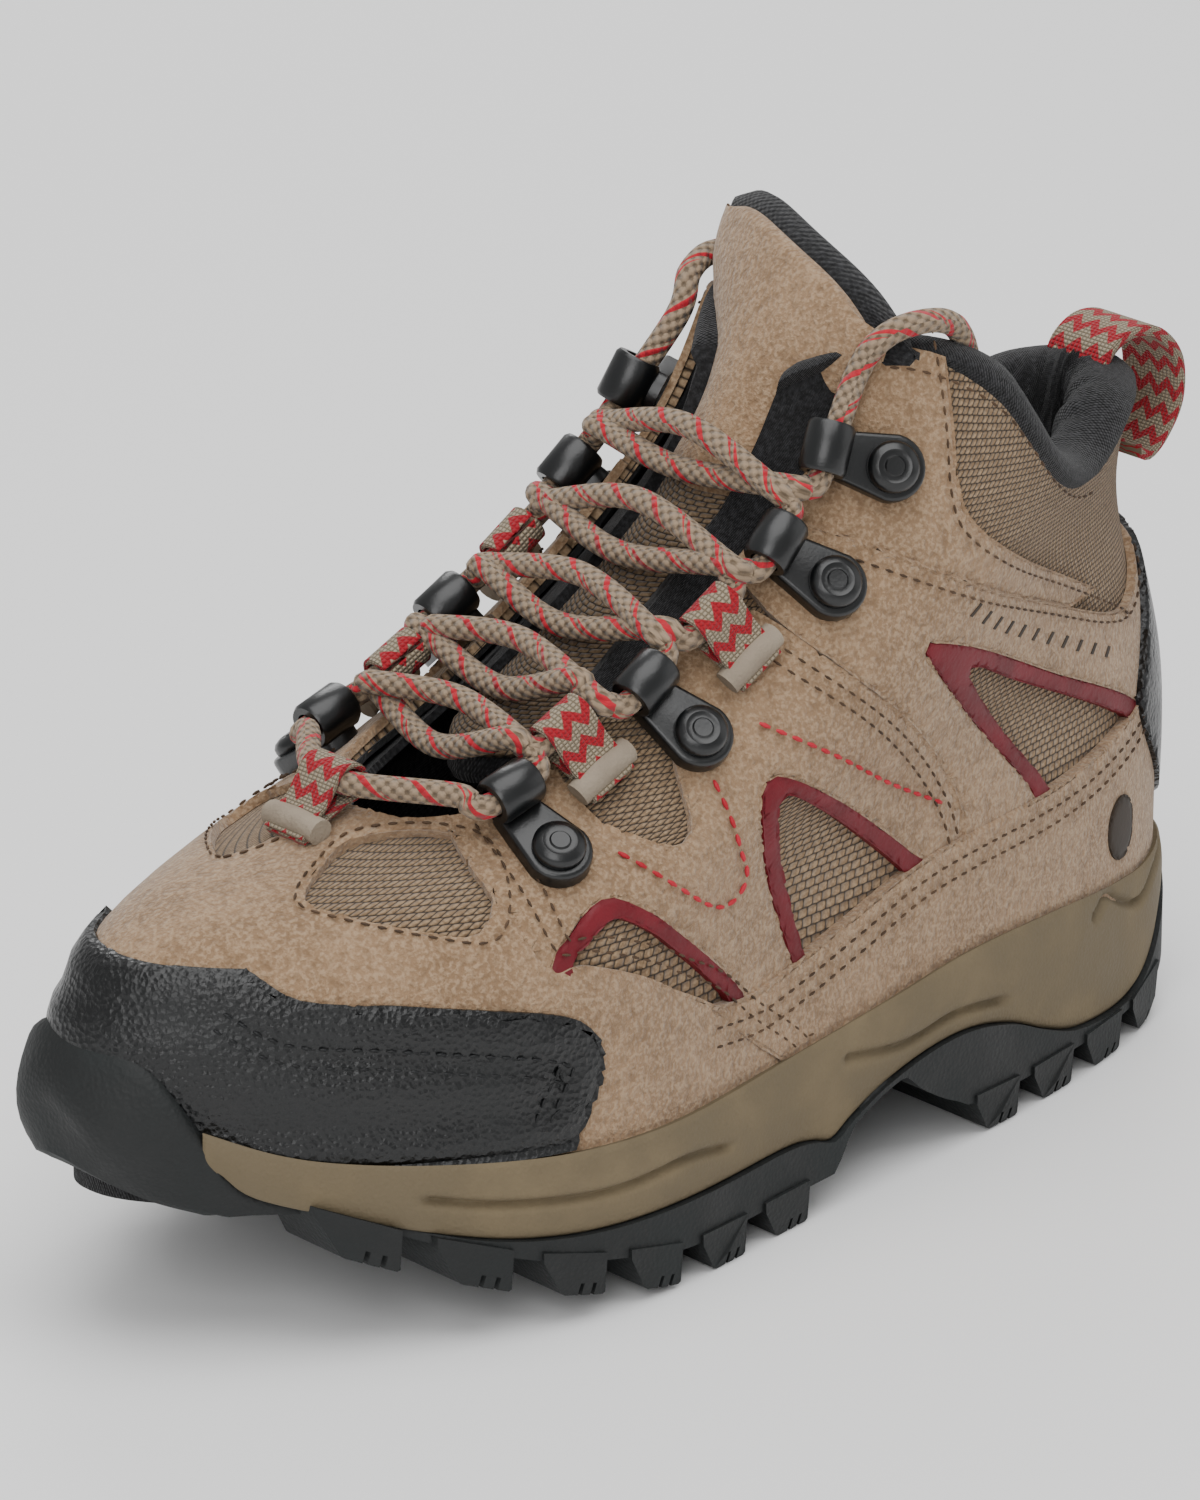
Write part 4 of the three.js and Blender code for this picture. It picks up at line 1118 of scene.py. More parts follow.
@dataclass(frozen=True)
class Knit:
    """Brushed black lining knit: fine ribs under a soft nap."""

    base: str = "131314"
    light: str = "2B2B2D"
    rib_mm: float = 1.3

    def dress(self) -> Material:
        """Builds the material.

        Returns:
            The material.
        """
        look = Look("brushed lining knit", Sheen_Weight=0.12, Sheen_Roughness=0.6, Specular_IOR_Level=0.15)
        add = look.add
        u, v = look.pattern()
        ribs = [
            add(
                "Math", add("Math", part, 2 * math.pi / self.rib_mm, operation="MULTIPLY"), operation="SINE"
            ) for part in (u, v)
        ]
        rib = add("Math", *ribs, operation="MULTIPLY")
        nap = add("TexNoise", look.object, Scale=1 / (0.9 * MM), Detail=3)
        colour = look.between(nap, (0.35, 0.75, 0.0, 1.0), linear(self.base), linear(self.light))
        height = add("Math", add("Math", rib, 0.3, operation="MULTIPLY"), nap, operation="ADD")
        return look.finish(colour, 0.95, height, 0.35)


@dataclass(frozen=True)
class Braid:
    """Round braided polyester lace: crossing diagonal plaits, with red tracer yarns in short flecks."""

    yarn: str = "94806A"
    shade: str = "6A5A48"
    fleck: str = "B3202E"
    plait_mm: float = 2.4
    girth_mm: float = 14.6
    fleck_mm: float = 9.0

    def dress(self) -> Material:
        """Builds the material. Its pattern runs along the lace in u and round it in v.

        Returns:
            The material.
        """
        look = Look("braided lace", Sheen_Weight=0.15, Specular_IOR_Level=0.25)
        add = look.add
        u, v = look.pattern()
        along = add("Math", u, self.plait_mm, operation="DIVIDE")
        turn = add("Math", add("Math", v, 6.0, operation="MULTIPLY"), self.girth_mm, operation="DIVIDE")
        ways = [add("Math", along, turn, operation=sign) for sign in ("ADD", "SUBTRACT")]
        waves = [
            add(
                "Math",
                add("Math", add("Math", w, math.pi, operation="MULTIPLY"), operation="SINE"),
                operation="ABSOLUTE",
            ) for w in ways
        ]
        crown = add("Math", *waves, operation="MAXIMUM")
        dip = add("Math", *waves, operation="MULTIPLY")
        half_turn = add("Math", add("Math", v, 2.0, operation="MULTIPLY"), self.girth_mm, operation="DIVIDE")
        tracer = add(
            "Math",
            add("Math", add("Math", u, self.fleck_mm, operation="DIVIDE"), half_turn, operation="ADD"),
            operation="FRACT",
        )
        cell = add("Math", add("Math", along, turn, operation="ADD"), operation="FRACT")
        is_fleck = add(
            "Math", add("Math", tracer, 0.24, operation="LESS_THAN"),
            add("Math", cell, 0.35, operation="GREATER_THAN"), operation="MULTIPLY",
        )
        shaded = look.between(
            add("Math", crown, dip, operation="ADD"), (0.6, 1.25, 0.0, 1.0), linear(self.shade), linear(self.yarn)
        )
        colour = add("Mix", is_fleck, in6=shaded, in7=linear(self.fleck), data_type="RGBA").outputs[2]
        return look.finish(colour, 0.85, add("Math", crown, dip, operation="ADD"), 0.45)


@dataclass(frozen=True)
class Webbing:
    """Woven tape with a red zigzag figure on a pale ground, and painted shade between its yarns."""

    ground: str = "9D8F7A"
    figure: str = "9A1824"
    # colour of the painted shade between the yarns
    edge: str = "6F6350"
    width_mm: float = 15.0
    repeat_mm: float = 5.0

    def dress(self) -> Material:
        """Builds the material. Its pattern runs along the tape in u and round its section in v.

        Returns:
            The material.
        """
        look = Look("figured webbing", Sheen_Weight=0.1, Specular_IOR_Level=0.2)
        add = look.add
        u, v = look.pattern()
        across = add("Math", v, self.width_mm, operation="MODULO")
        zig = add("Math", across, self.width_mm / 8, operation="PINGPONG")
        wave = add(
            "Math", add("Math", u, self.repeat_mm, operation="DIVIDE"),
            add("Math", zig, self.width_mm / 4.0, operation="DIVIDE"), operation="ADD",
        )
        stripe = add("Math", wave, 0.5, operation="PINGPONG")
        red = add("MapRange", stripe, 0.2, 0.26, 1.0, 0.0, interpolation_type="SMOOTHSTEP")
        yarn_u = add("Math", add("Math", u, math.pi / 0.7, operation="MULTIPLY"), operation="SINE")
        yarn_v = add("Math", add("Math", v, math.pi / 0.8, operation="MULTIPLY"), operation="SINE")
        weave = add("Math", add("Math", yarn_u, yarn_v, operation="MULTIPLY"), operation="ABSOLUTE")
        # painted shade: the ground darkens to the edge colour where the weave falls away between yarns
        ground = look.between(weave, (0.1, 0.6, 0.0, 1.0), linear(self.edge), linear(self.ground))
        colour = add("Mix", red, in6=ground, in7=linear(self.figure), data_type="RGBA").outputs[2]
        return look.finish(colour, 0.85, weave, 0.35)


@dataclass(frozen=True)
class Plain:
    """A smooth moulded or spun surface in one colour, broken by faint mottling."""

    name: str
    base: str
    light: str
    roughness: float
    specular: float = 0.5
    grain_mm: float = 0.8
    depth_mm: float = 0.05
    metallic: float = 0.0

    def dress(self) -> Material:
        """Builds the material.

        Returns:
            The material.
        """
        look = Look(self.name, Specular_IOR_Level=self.specular, Metallic=self.metallic)
        add = look.add
        grain = add("TexNoise", look.object, Scale=1 / (self.grain_mm * MM), Detail=3)
        cloud = add("TexNoise", look.object, Scale=1 / (11 * MM), Detail=3)
        colour = look.between(cloud, (0.35, 0.7, 0.0, 0.7), linear(self.base), linear(self.light))
        return look.finish(colour, self.roughness, grain, self.depth_mm)


class Finishes:
    """Every material of the boot."""

    def __init__(self) -> None:
        """Builds them once."""
        # Buffed split leather scatters light from its nap and looks dry, with no highlight.
        self.suede = Suede().dress()
        # Woven polyester: round bundles with painted shade in the gaps, so it reads as dots in rows.
        self.mesh = CoarseMesh().dress()
        # the tongue's coarser weave, with its own painted shade in the gaps
        self.weave = CoarseMesh(yarn="665440", light="7F6B54", gap="241C15", bundle_mm=3.0, row_mm=1.9).dress()
        # Polyurethane-coated leather, embossed with a fine pebble, takes a soft satin shine.
        self.cap = Grained("pebbled coated leather", "040506", "0D1011", 0.34, 1.1, 0.3, 0.5, 0.1).dress()
        # Moulded carbon rubber is matt and slightly grey where the mould was textured.
        self.rubber = Grained("moulded outsole rubber", "0E1111", "1E2323", 0.66, 0.9, 0.12, 0.6).dress()
        # Compression-moulded EVA has a fine skin that scatters light.
        self.foam = Grained("moulded midsole foam", "635741", "776950", 0.78, 0.8, 0.1, 0.7).dress()
        # Brushed polyester knit soaks up light.
        self.lining = Knit().dress()
        # Braided and woven polyester: matt yarns whose crossings catch small lights.
        self.lace = Braid().dress()
        self.webbing = Webbing().dress()
        # Glass-filled nylon out of a polished mould.
        self.nylon = Plain("moulded nylon", "08090A", "121415", 0.3, 0.55, 0.6, 0.03).dress()
        # Polyurethane-coated binding, smooth with a soft edge light.
        self.red = Plain("red synthetic binding", "5A0914", "72101F", 0.55, 0.35, 0.9, 0.15).dress()
        # Rolled polyester tape, matt and slightly fuzzy.
        self.grey = Plain("grey rolled tape", "85796A", "9C907F", 0.85, 0.2, 0.7, 0.25).dress()
        # Bonded nylon thread has a faint waxy shine.
        self.brown_thread = Plain("brown bonded thread", "3A2A1C", "5A4430", 0.6, 0.3, 0.5, 0.1).dress()
        self.red_thread = Plain("red bonded thread", "A11626", "C02B3B", 0.55, 0.3, 0.5, 0.1).dress()
        self.black_thread = Plain("black bonded thread", "08090A", "141618", 0.5, 0.35, 0.5, 0.1).dress()
        # Hot-pressed foil, flat and slightly smoother than the suede under it.
        self.print = Plain("brown foil print", "2B2219", "3B2F24", 0.6, 0.3, 0.7, 0.05).dress()
        # Pressed cellulose board, pale and dull.
        self.board = Plain("fibre board", "B9AD8C", "CDC2A3", 0.9, 0.2, 0.8, 0.1).dress()
        # Cold-rolled strip: a dull grey metal with faint cloudy oxide.
        self.steel = Plain("rolled spring steel", "8C8E90", "A6A8AA", 0.35, 0.5, 0.4, 0.02, 1.0).dress()


# ------------------------------------------------------------------ the upper


@dataclass
class Upper:
    """Mesh shell, suede panels, caps and red trims, laid on the last in their own layers."""

    frame: Frame
    finishes: Finishes
    thread: Thread
    red_thread: Thread
    black_thread: Thread
    mesh_out: float = 0.2
    mesh_in: float = -1.3
    panel_in: float = 0.3
    panel_out: float = 1.8
    over_out: float = 2.5  # panels that lap over their neighbours
    cap_out: float = 3.4
    trim_out: float = 1.3
    lap: float = 0.1  # gap that is closed where two panels meet
    feather: float = 0.5  # lower edge, hidden in the sole
    split: float = 118.0  # girth where the vamp's mesh meets the quarters'
    under_cap: float = -7.0  # how far the vamp runs in under the toe cap
    cap_lap: float = 0.4  # lap over the seam behind
    thread_rise: float = 0.6  # a stitch's middle above the suede it is sewn through

    def collar(self) -> Points:
        """Outline of everything below the collar line on the outer side.

        Returns:
            The closed outline.
        """
        line = seam(COLLAR_LINE)
        line[0] = (0, ABOVE)
        return closed_by(line, (HEEL, line[-1, 1]), (HEEL, UNDER), (0, UNDER))

    def toe_region(self, edge: Line, grow: float) -> Points:
        """Outline of everything in front of a seam.

        Args:
            edge: the seam, from its top.
            grow: how far the outline lies behind it.

        Returns:
            The closed outline.
        """
        line = beside(seam(edge), grow)
        line = np.concatenate([[(0, line[0, 1])], line])
        return about_toe(closed_by(line, (line[-1, 0], UNDER)))

    def foxing_region(self) -> Points:
        """Everything below the foxing line, round the heel."""
        line = seam(FOXING_LINE)
        return about_heel(closed_by(line[::-1], (60, line[0, 1]), (60, UNDER))[::-1])

    def foxing_strip(self, side: Side) -> Points:
        """Everything that the foxing covers on one side, but for its lap."""
        line = beside(seam(FOXING_LINE), -2)
        return turned(closed_by(line, (HEEL, UNDER), (0, UNDER), (0, seam(FOXING_LINE)[0, 1])), side)

    def shell(self) -> None:
        """The woven mesh shell, split as the frame splits it."""
        split = self.split
        vamp = PatternPiece((-split, split), (self.feather, 100), 2.6)
        vamp.cut(throat(0.6), Cut.KEEP_OUTSIDE).cut(
            self.toe_region(TOE_CAP_LINE, self.under_cap), Cut.KEEP_OUTSIDE
        )
        self.lay(
            vamp, "vamp_mesh_shell", self.finishes.mesh, "upper_mesh", (self.mesh_in, self.mesh_out),
            nodes=["vamp_mesh"],
        )
        for side in Side:
            ends = sorted((0, side.value * HEEL))
            quarter = PatternPiece((ends[0], ends[1]), (self.feather, RISE + 8), 2.6)
            quarter.cut(turned(self.collar(), side), Cut.KEEP_INSIDE)
            quarter.cut(throat(0.6), Cut.KEEP_OUTSIDE)
            tall = np.array(
                [
                    (-split, UNDER), (split, UNDER), (split, 62), (30, 62), (30, 90), (-30, 90), (-30, 62),
                    (-split, 62),
                ]
            )
            quarter.cut(tall, Cut.KEEP_OUTSIDE)
            self.lay(quarter, f"quarter_mesh_shell_{side.name.lower()}", self.finishes.mesh, "upper_mesh",
                (self.mesh_in, self.mesh_out), nodes=[f"quarter_mesh_{side.name.lower()}"])

    def lay(
        self,
        pattern: PatternPiece,
        name: str,
        finish: Material,
        slot: str,
        outs: tuple[float, float],
        rounding: float = 0.5,
        puff: float = 0.0,
        nodes: Sequence[str] = (),
        welt: float = 0.0,
    ) -> None:
        """Lasts a cut pattern piece and adds it to the boot.

        Args:
            pattern: the cut piece.
            name: its name.
            finish: its material.
            slot: handed on to Frame.piece().
            outs: distance of its underside and top from the last.
            rounding: as in lasted().
            puff: as in lasted().
            nodes: the frame nodes it replaces.
            welt: as in lasted().
        """
        self.frame.piece(pattern.lasted(outs[0], outs[1], rounding, puff, welt), name, finish, slot, nodes=nodes)

    def vamp(self) -> None:
        """Vamp suede round the toe, with its mesh window, and the toe cap over it."""
        vamp = PatternPiece((-150, 150), (self.feather, 100), 2.2)
        vamp.cut(self.toe_region(VAMP_SEAM, self.cap_lap), Cut.KEEP_INSIDE).cut(throat(), Cut.KEEP_OUTSIDE)
        vamp.cut(self.toe_region(TOE_CAP_LINE, self.under_cap), Cut.KEEP_OUTSIDE)
        for side in Side:
            plan = [(x, y * side.value) for x, y in spline(VAMP_WINDOW, closed=True)]
            hole = LAST.locate_plan(plan)
            vamp.cut(hole, Cut.KEEP_OUTSIDE)
            self.thread.row(
                hole.mean(0) + (np.concatenate([hole, hole[:1]]) - hole.mean(0)) * 1.13,
                self.panel_out + self.thread_rise,
            )
        self.lay(
            vamp, "vamp_suede_panel", self.finishes.suede, "tan_suede", (self.panel_in, self.panel_out + 0.3),
            nodes=["vamp_suede"],
        )
        cap = PatternPiece((-150, 150), (self.feather + 1.5, 80), 1.7)
        cap.cut(self.toe_region(TOE_CAP_LINE, self.cap_lap), Cut.KEEP_INSIDE)
        self.lay(
            cap, "toe_cap_cover", self.finishes.cap, "black_cap", (self.panel_in, self.cap_out), 0.9, 0.5,
            ["toe_cap"], 0.9,
        )
        line = seam(TOE_CAP_LINE)
        for inset in (5.0, 7.2):
            path = beside(line, -inset)
            whole = np.concatenate([(path * np.array([-1, 1]))[::-1], path])
            self.black_thread.row(whole[np.abs(whole[:, 0]) > 0.5], self.cap_out - 0.15)

    def sides(self) -> None:
        """Quarter, eyestay and collar panels of each side, with the red trims in their windows."""
        for side in Side:
            self.side_panels(side)
            self.side_trims(side)
            self.side_stitches(side)

    def side_panels(self, side: Side) -> None:
        """The suede panels of one side.

        Args:
            side: which side.
        """
        label = side.name.lower()
        ends = sorted((0, side.value * HEEL))
        collar = turned(self.collar(), side)
        vamp_seam = turned(
            closed_by(beside(seam(VAMP_SEAM), -0.2), (HEEL, UNDER), (HEEL, ABOVE), (0, ABOVE)), side
        )
        quarter_seam = seam(QUARTER_SEAM)
        quarter_top = seam(QUARTER_TOP)
        border = seam(MESH_BORDER)

        eyestay = PatternPiece((ends[0], ends[1]), (12, RISE + 8), 2.2)
        eyestay.cut(collar, Cut.KEEP_INSIDE).cut(vamp_seam, Cut.KEEP_INSIDE).cut(throat(), Cut.KEEP_OUTSIDE)
        front = closed_by(beside(quarter_seam, self.lap), (quarter_seam[-1, 0], UNDER), (0, UNDER), (0, ABOVE),
            (quarter_top[0, 0], ABOVE), tuple(quarter_top[0]))
        top = closed_by(quarter_top[1:], (HEEL, quarter_top[-1, 1]), (HEEL, ABOVE), (0, ABOVE))
        eyestay.cut(turned(front, side), Cut.KEEP_INSIDE)
        for loop in (window(FRONT_WINDOW), window(MIDDLE_WINDOW), window(WEDGE_FRONT)):
            eyestay.cut(turned(loop, side), Cut.KEEP_OUTSIDE)
        eyestay.cut(self.foxing_strip(side), Cut.KEEP_OUTSIDE)
        self.lay(
            eyestay, f"eyestay_suede_{label}", self.finishes.suede, "tan_suede", (self.panel_in, self.panel_out),
            nodes=[f"eyestay_{label}"],
        )

        quarter = PatternPiece((ends[0], ends[1]), (12, RISE + 8), 2.2)
        behind = closed_by(
            quarter_seam, (quarter_seam[-1, 0], UNDER), (HEEL, UNDER), (HEEL, ABOVE), (quarter_seam[0, 0], ABOVE)
        )
        quarter.cut(turned(behind, side), Cut.KEEP_INSIDE).cut(turned(top, side), Cut.KEEP_OUTSIDE)
        quarter.cut(throat(), Cut.KEEP_OUTSIDE)
        for loop in (window(REAR_WINDOW), window(MIDDLE_WINDOW), window(WEDGE_REAR)):
            quarter.cut(turned(loop, side), Cut.KEEP_OUTSIDE)
        quarter.cut(self.foxing_strip(side), Cut.KEEP_OUTSIDE)
        self.lay(
            quarter, f"quarter_suede_{label}", self.finishes.suede, "tan_suede",
            (self.panel_in, self.panel_out + 0.2), nodes=[f"quarter_{label}"],
        )

        collar_panel = PatternPiece((ends[0], ends[1]), (60, RISE + 8), 2.2)
        collar_panel.cut(collar, Cut.KEEP_INSIDE).cut(turned(top, side), Cut.KEEP_INSIDE).cut(
            throat(), Cut.KEEP_OUTSIDE
        )
        before = closed_by(border, (0, border[-1, 1]), (0, ABOVE), (border[0, 0], ABOVE))
        collar_panel.cut(turned(before, side), Cut.KEEP_INSIDE)
        self.lay(collar_panel, f"collar_suede_{label}", self.finishes.suede, "tan_suede",
            (self.panel_in, self.panel_out - 0.1), nodes=[f"collar_panel_{label}"])

    def side_trims(self, side: Side) -> None:
        """The red bindings that show inside the windows of one side.

        Args:
            side: which side.
        """
        label = side.name.lower()
        rings = {
            "front": (FRONT_WINDOW, FRONT_TRIM),
            "middle": (MIDDLE_WINDOW, MIDDLE_TRIM),
            "rear": (REAR_WINDOW, REAR_TRIM),
        }
        for name, (outer, inner) in rings.items():
            whole = window(outer)
            reach = (whole[:, 0].min() - 3, whole[:, 0].max() + 3)
            ends = sorted((side.value * reach[0], side.value * reach[1]))
            piece = PatternPiece((ends[0], ends[1]), (whole[:, 1].min() - 3, whole[:, 1].max() + 3), 1.4)
            piece.cut(turned(whole, side), Cut.KEEP_INSIDE).cut(turned(window(inner), side), Cut.KEEP_OUTSIDE)
            piece.cut(self.foxing_strip(side), Cut.KEEP_OUTSIDE)
            self.lay(
                piece, f"red_trim_{name}_{label}", self.finishes.red, "red_trim",
                (self.panel_in, self.trim_out + 0.7), 0.35, 0.0, [f"trim_{name}_{label}"],
            )

    def side_stitches(self, side: Side) -> None:
        """Stitch rows along the seams and windows of one side.

        Args:
            side: which side.
        """
        foxing = seam(FOXING_LINE)
        brown = [(beside(foxing, -2.4), self.over_out + 0.5), (beside(foxing, -4.6), self.over_out + 0.5)]
        brown += [
            (beside(seam(VAMP_SEAM)[2:], 2.4), self.panel_out + self.thread_rise),
            (beside(seam(VAMP_SEAM)[2:], 4.4), self.panel_out + self.thread_rise),
        ]
        brown += [
            (beside(seam(QUARTER_SEAM), -2.2), self.panel_out + self.thread_rise),
            (beside(seam(QUARTER_SEAM), -4.2), self.panel_out + self.thread_rise),
        ]
        brown += [(beside(seam(QUARTER_TOP), -2.2), self.panel_out + self.thread_rise)]
        brown += [(beside(seam(MESH_BORDER), -2.2), self.panel_out + 0.4)]
        brown += [(beside(seam(COLLAR_LINE)[4:46], -3.0), self.panel_out + 0.4)]
        for line, out in brown:
            self.thread.row(turned(line, side), out)
        for line in (RED_SEAM_FRONT, RED_SEAM_REAR):
            self.red_thread.row(turned(seam(line), side), self.panel_out + self.thread_rise)

    def heel(self) -> None:
        """Foxing round the heel and the heel cap."""
        foxing = PatternPiece((60, 540), (self.feather, 60), 2.2)
        foxing.cut(self.foxing_region(), Cut.KEEP_INSIDE)
        front = beside(seam(VAMP_SEAM), -0.2)
        foxing.cut(about_heel(closed_by(front, (front[-1, 0], UNDER))), Cut.KEEP_INSIDE)
        self.lay(
            foxing, "foxing_suede_wrap", self.finishes.suede, "tan_suede", (self.panel_in, self.over_out),
            nodes=["foxing_suede"],
        )
        heel = PatternPiece((200, 400), (self.feather, 90), 2.2)
        heel.cut(about_heel(seam(HEEL_CAP_LINE)[::-1]), Cut.KEEP_INSIDE)
        self.lay(
            heel, "heel_cap_cover", self.finishes.cap, "black_cap", (self.panel_in, self.over_out + 0.9), 0.7,
            0.4, ["heel_cap"],
        )

    def marks(self) -> None:
        """An oval badge by the heel and a row of slanted bars under the collar, both plain, on the outer side."""
        centre = LAST.locate([(107, 42)])[0]
        turn = np.linspace(0, 2 * np.pi, 36, endpoint=False)
        oval = centre + np.stack([np.cos(turn) * 6.0, np.sin(turn) * 4.0], -1)
        badge = PatternPiece((centre[0] - 9, centre[0] + 9), (centre[1] - 7, centre[1] + 7), 0.8)
        badge.cut(oval, Cut.KEEP_INSIDE)
        self.lay(
            badge, "oval_badge", self.finishes.print, "black_cap", (self.over_out, self.over_out + 0.45), 0.3, 0.3
        )
        ends = LAST.locate([(57, 100.5), (104, 76.5)])
        way = (ends[1] - ends[0]) / np.linalg.norm(ends[1] - ends[0])
        lean = np.array([-way[1], way[0]]) * 0.9 + way * 0.25
        bars = []
        for share in np.linspace(0, 1, 11):
            root = ends[0] + (ends[1] - ends[0]) * share
            corners = np.array(
                [
                    root - way * 0.7 - lean * 1.5, root + way * 0.7 - lean * 1.5, root + way * 0.7 + lean * 1.5,
                    root - way * 0.7 + lean * 1.5,
                ]
            )
            bar = PatternPiece((root[0] - 4, root[0] + 4), (root[1] - 4, root[1] + 4), 1.6)
            bars.append(bar.cut(corners, Cut.KEEP_INSIDE).lasted(self.panel_out, self.panel_out + 0.35, 0))
        self.frame.piece(join(bars), "printed_bars", self.finishes.print, "black_cap")

    def build(self) -> None:
        """Builds every piece of the upper."""
        self.shell()
        self.vamp()
        self.sides()
        self.heel()
        self.marks()


# ------------------------------------------------------------------ the sole

RAND_TOP = [
    (-104, 42), (-93, 37), (-82, 34.5), (-64, 32.5), (-43, 31), (-22, 30.5), (3, 31.5), (33, 34), (57, 36),
    (82, 35), (106, 32.5), (122, 31.5), (160, 34),
]
SOLE_LINE = [
    (-101, 34), (-96, 29), (-82, 24), (-71, 20.5), (-61, 18), (-51, 16.5), (-37, 15.5), (-12, 15), (6, 15),
    (13, 14), (18, 12.5), (23, 15), (32, 18.5), (45, 21), (57, 21), (69, 18), (80, 13), (90, 9.5), (104, 8),
    (114, 9), (122, 13), (130, 20.5), (137, 25.5), (160, 27),
]
GROUND_LINE = [
    (-124, 53), (-121, 42), (-116, 34), (-109, 28.6), (-99, 24.4), (-86, 18.4), (-73, 13), (-59, 8.2), (-50, 5.6),
    (-37, 3), (-20, 0), (16, 0), (19, 1.5), (24, 9), (30, 13.5), (36, 13), (43, 7.5), (52, 2.5), (62, 0),
    (112, 0), (121, 1.6), (128, 6), (134, 13), (138, 20), (160, 22),
]
BUMPER_EDGE = [(-123, 57), (-117, 56), (-111, 52), (-106.5, 45), (-103.5, 39)]


def height_on(line: Line, x: Points) -> Points:
    """Height of a side-view line at x."""
    table = spline(line, spacing=1.0)
    return np.interp(x, table[:, 0], table[:, 1])


@dataclass
class Sole:
    """Midsole, lugged outsole with its toe bumper, and footbed."""

    frame: Frame
    finishes: Finishes
    overhang: float = 3.6
    tread: float = 4.6
    bumper: float = 4.6
    lug_depth: float = 6.4
    lug_pitch: float = 17.5
    lug_length: float = 12.3
    heel_lug_length: float = 13.0
    waist: float = 40.0  # X that parts the heel's lugs from the forefoot's
    channel: float = 15.0  # half width of the forefoot's middle channel
    heel_channel: float = 12.0
    gully: float = 4.4  # gap from a side lug to a middle one
    shoulder: float = 2.6  # radius over the top of the bumper
    toe_tuck: float = 3.2  # how far the toe's lower rim is drawn in
    grooves: tuple = (
        ((96, 29), (101, 31.5), (106, 28.5), (114, 25.5), (122, 28.5), (129, 30.5)),
        ((-72, 27), (-60, 24.5), (-40, 22.5), (-22, 23), (-12, 21.5)),
        ((22, 27), (38, 24.5), (52, 25.5), (66, 23.5)),
    )

    def edge(self, s: Points, out: Points | float) -> Points:
        """Plan points on the sole's outline, moved outwards, with height 0.

        Args:
            s: girth.
            out: how far outwards.

        Returns:
            The points.
        """
        spot = LAST.surface(s, np.zeros_like(s))
        way = LAST.surface(s + 1.7, np.zeros_like(s)) - LAST.surface(s - 1.7, np.zeros_like(s))
        way[..., 2] = 0
        way /= np.linalg.norm(way, axis=-1, keepdims=True)
        out = np.broadcast_to(out, s.shape)[..., None]
        flat = spot * np.array([1, 1, 0])
        return flat + np.stack([way[..., 1], -way[..., 0], 0 * way[..., 0]], -1) * out

    def toe_share(self, s: Points) -> Points:
        """1 at the toe, fading to 0 at the ball."""
        turn = np.abs(np.mod(s / GIRTH + 0.5, 1) - 0.5) * 360
        return np.where(turn < 35, np.cos(np.radians(turn * 2.6)) ** 2, 0)

    def groove_depth(self, x: Points, z: Points) -> Points:
        """Depth of the moulded grooves at side-view places on the midsole wall.

        Args:
            x: places along.
            z: heights.

        Returns:
            The depths.
        """
        spots = np.stack([x, z], -1)
        depth = np.zeros(len(x))
        for line in self.grooves:
            far = distance_to(spots, spline(line), closed=False)
            depth = np.maximum(depth, 1.7 * np.exp(-((far / 0.85) ** 2)))
        return depth

    def midsole(self) -> None:
        """The foam wedge, from the toe bumper round the heel to the bumper again."""
        ring = np.linspace(0, GIRTH, 1201)
        x = self.edge(ring, self.overhang)[:, 0]
        start = ring[np.argmax(x > -103)]
        section = np.array(
            [
                (-9, 1.0), (-1.2, 1.0), (-0.35, 1.0), (0, 0.96), *[(0, v) for v in np.linspace(0.92, 0.08, 38)],
                (0, 0.04), (-0.5, 0.0), (-9, 0.0),
            ]
        )

        def place(u: Points, v: Points) -> Points:
            """Point of the midsole; v goes round the section from its top inner edge.

            Args:
                u: shares along.
                v: shares round.

            Returns:
                The points.
            """
            s = start + u * (GIRTH - 2 * start)
            row = v * (len(section) - 1)
            inward, share = (np.interp(row, range(len(section)), section[:, k]) for k in (0, 1))
            wall = self.edge(s, self.overhang)
            top, bottom = height_on(RAND_TOP, wall[:, 0]), height_on(SOLE_LINE, wall[:, 0])
            z = bottom + (top - bottom) * share
            mid = np.sin(np.pi * np.clip(share, 0, 1))
            bulge = 0.7 * mid - self.groove_depth(wall[:, 0], z) * (inward > -0.1)
            spot = self.edge(s, self.overhang + inward + bulge)
            spot[:, 2] = z + np.where(inward < -1, -0.6 * share, 0)
            return spot

        bm = placed_grid(480, len(section) - 1, (700, 40), place)
        self.frame.piece(cap_ends(bm), "midsole_wedge", self.finishes.foam, "midsole_foam",
            nodes=["midsole"], crease=60)

    def tread_base(self, x: Points) -> Points:
        """Height of the rubber between the lugs."""
        depth = np.clip((x + 101) / 14, 0, 1) * np.clip((133 - x) / 14, 0, 1)
        return height_on(GROUND_LINE, x) + self.lug_depth * depth

    def outsole(self) -> None:
        """Rubber shell with the bumper, then the lugs under it."""
        top_line = [*BUMPER_EDGE, *SOLE_LINE]
        rows = [("top", k) for k in (0.0, 0.3, 0.7, 1.0)]
        rows += [("wall", k) for k in (0.03, 0.07, 0.13, 0.22, 0.34, 0.48, 0.62, 0.76, 0.9, 1.0)]
        rows += [("under", k) for k in (0.05, 0.12, 0.3, 0.55, 0.8, 0.93)]

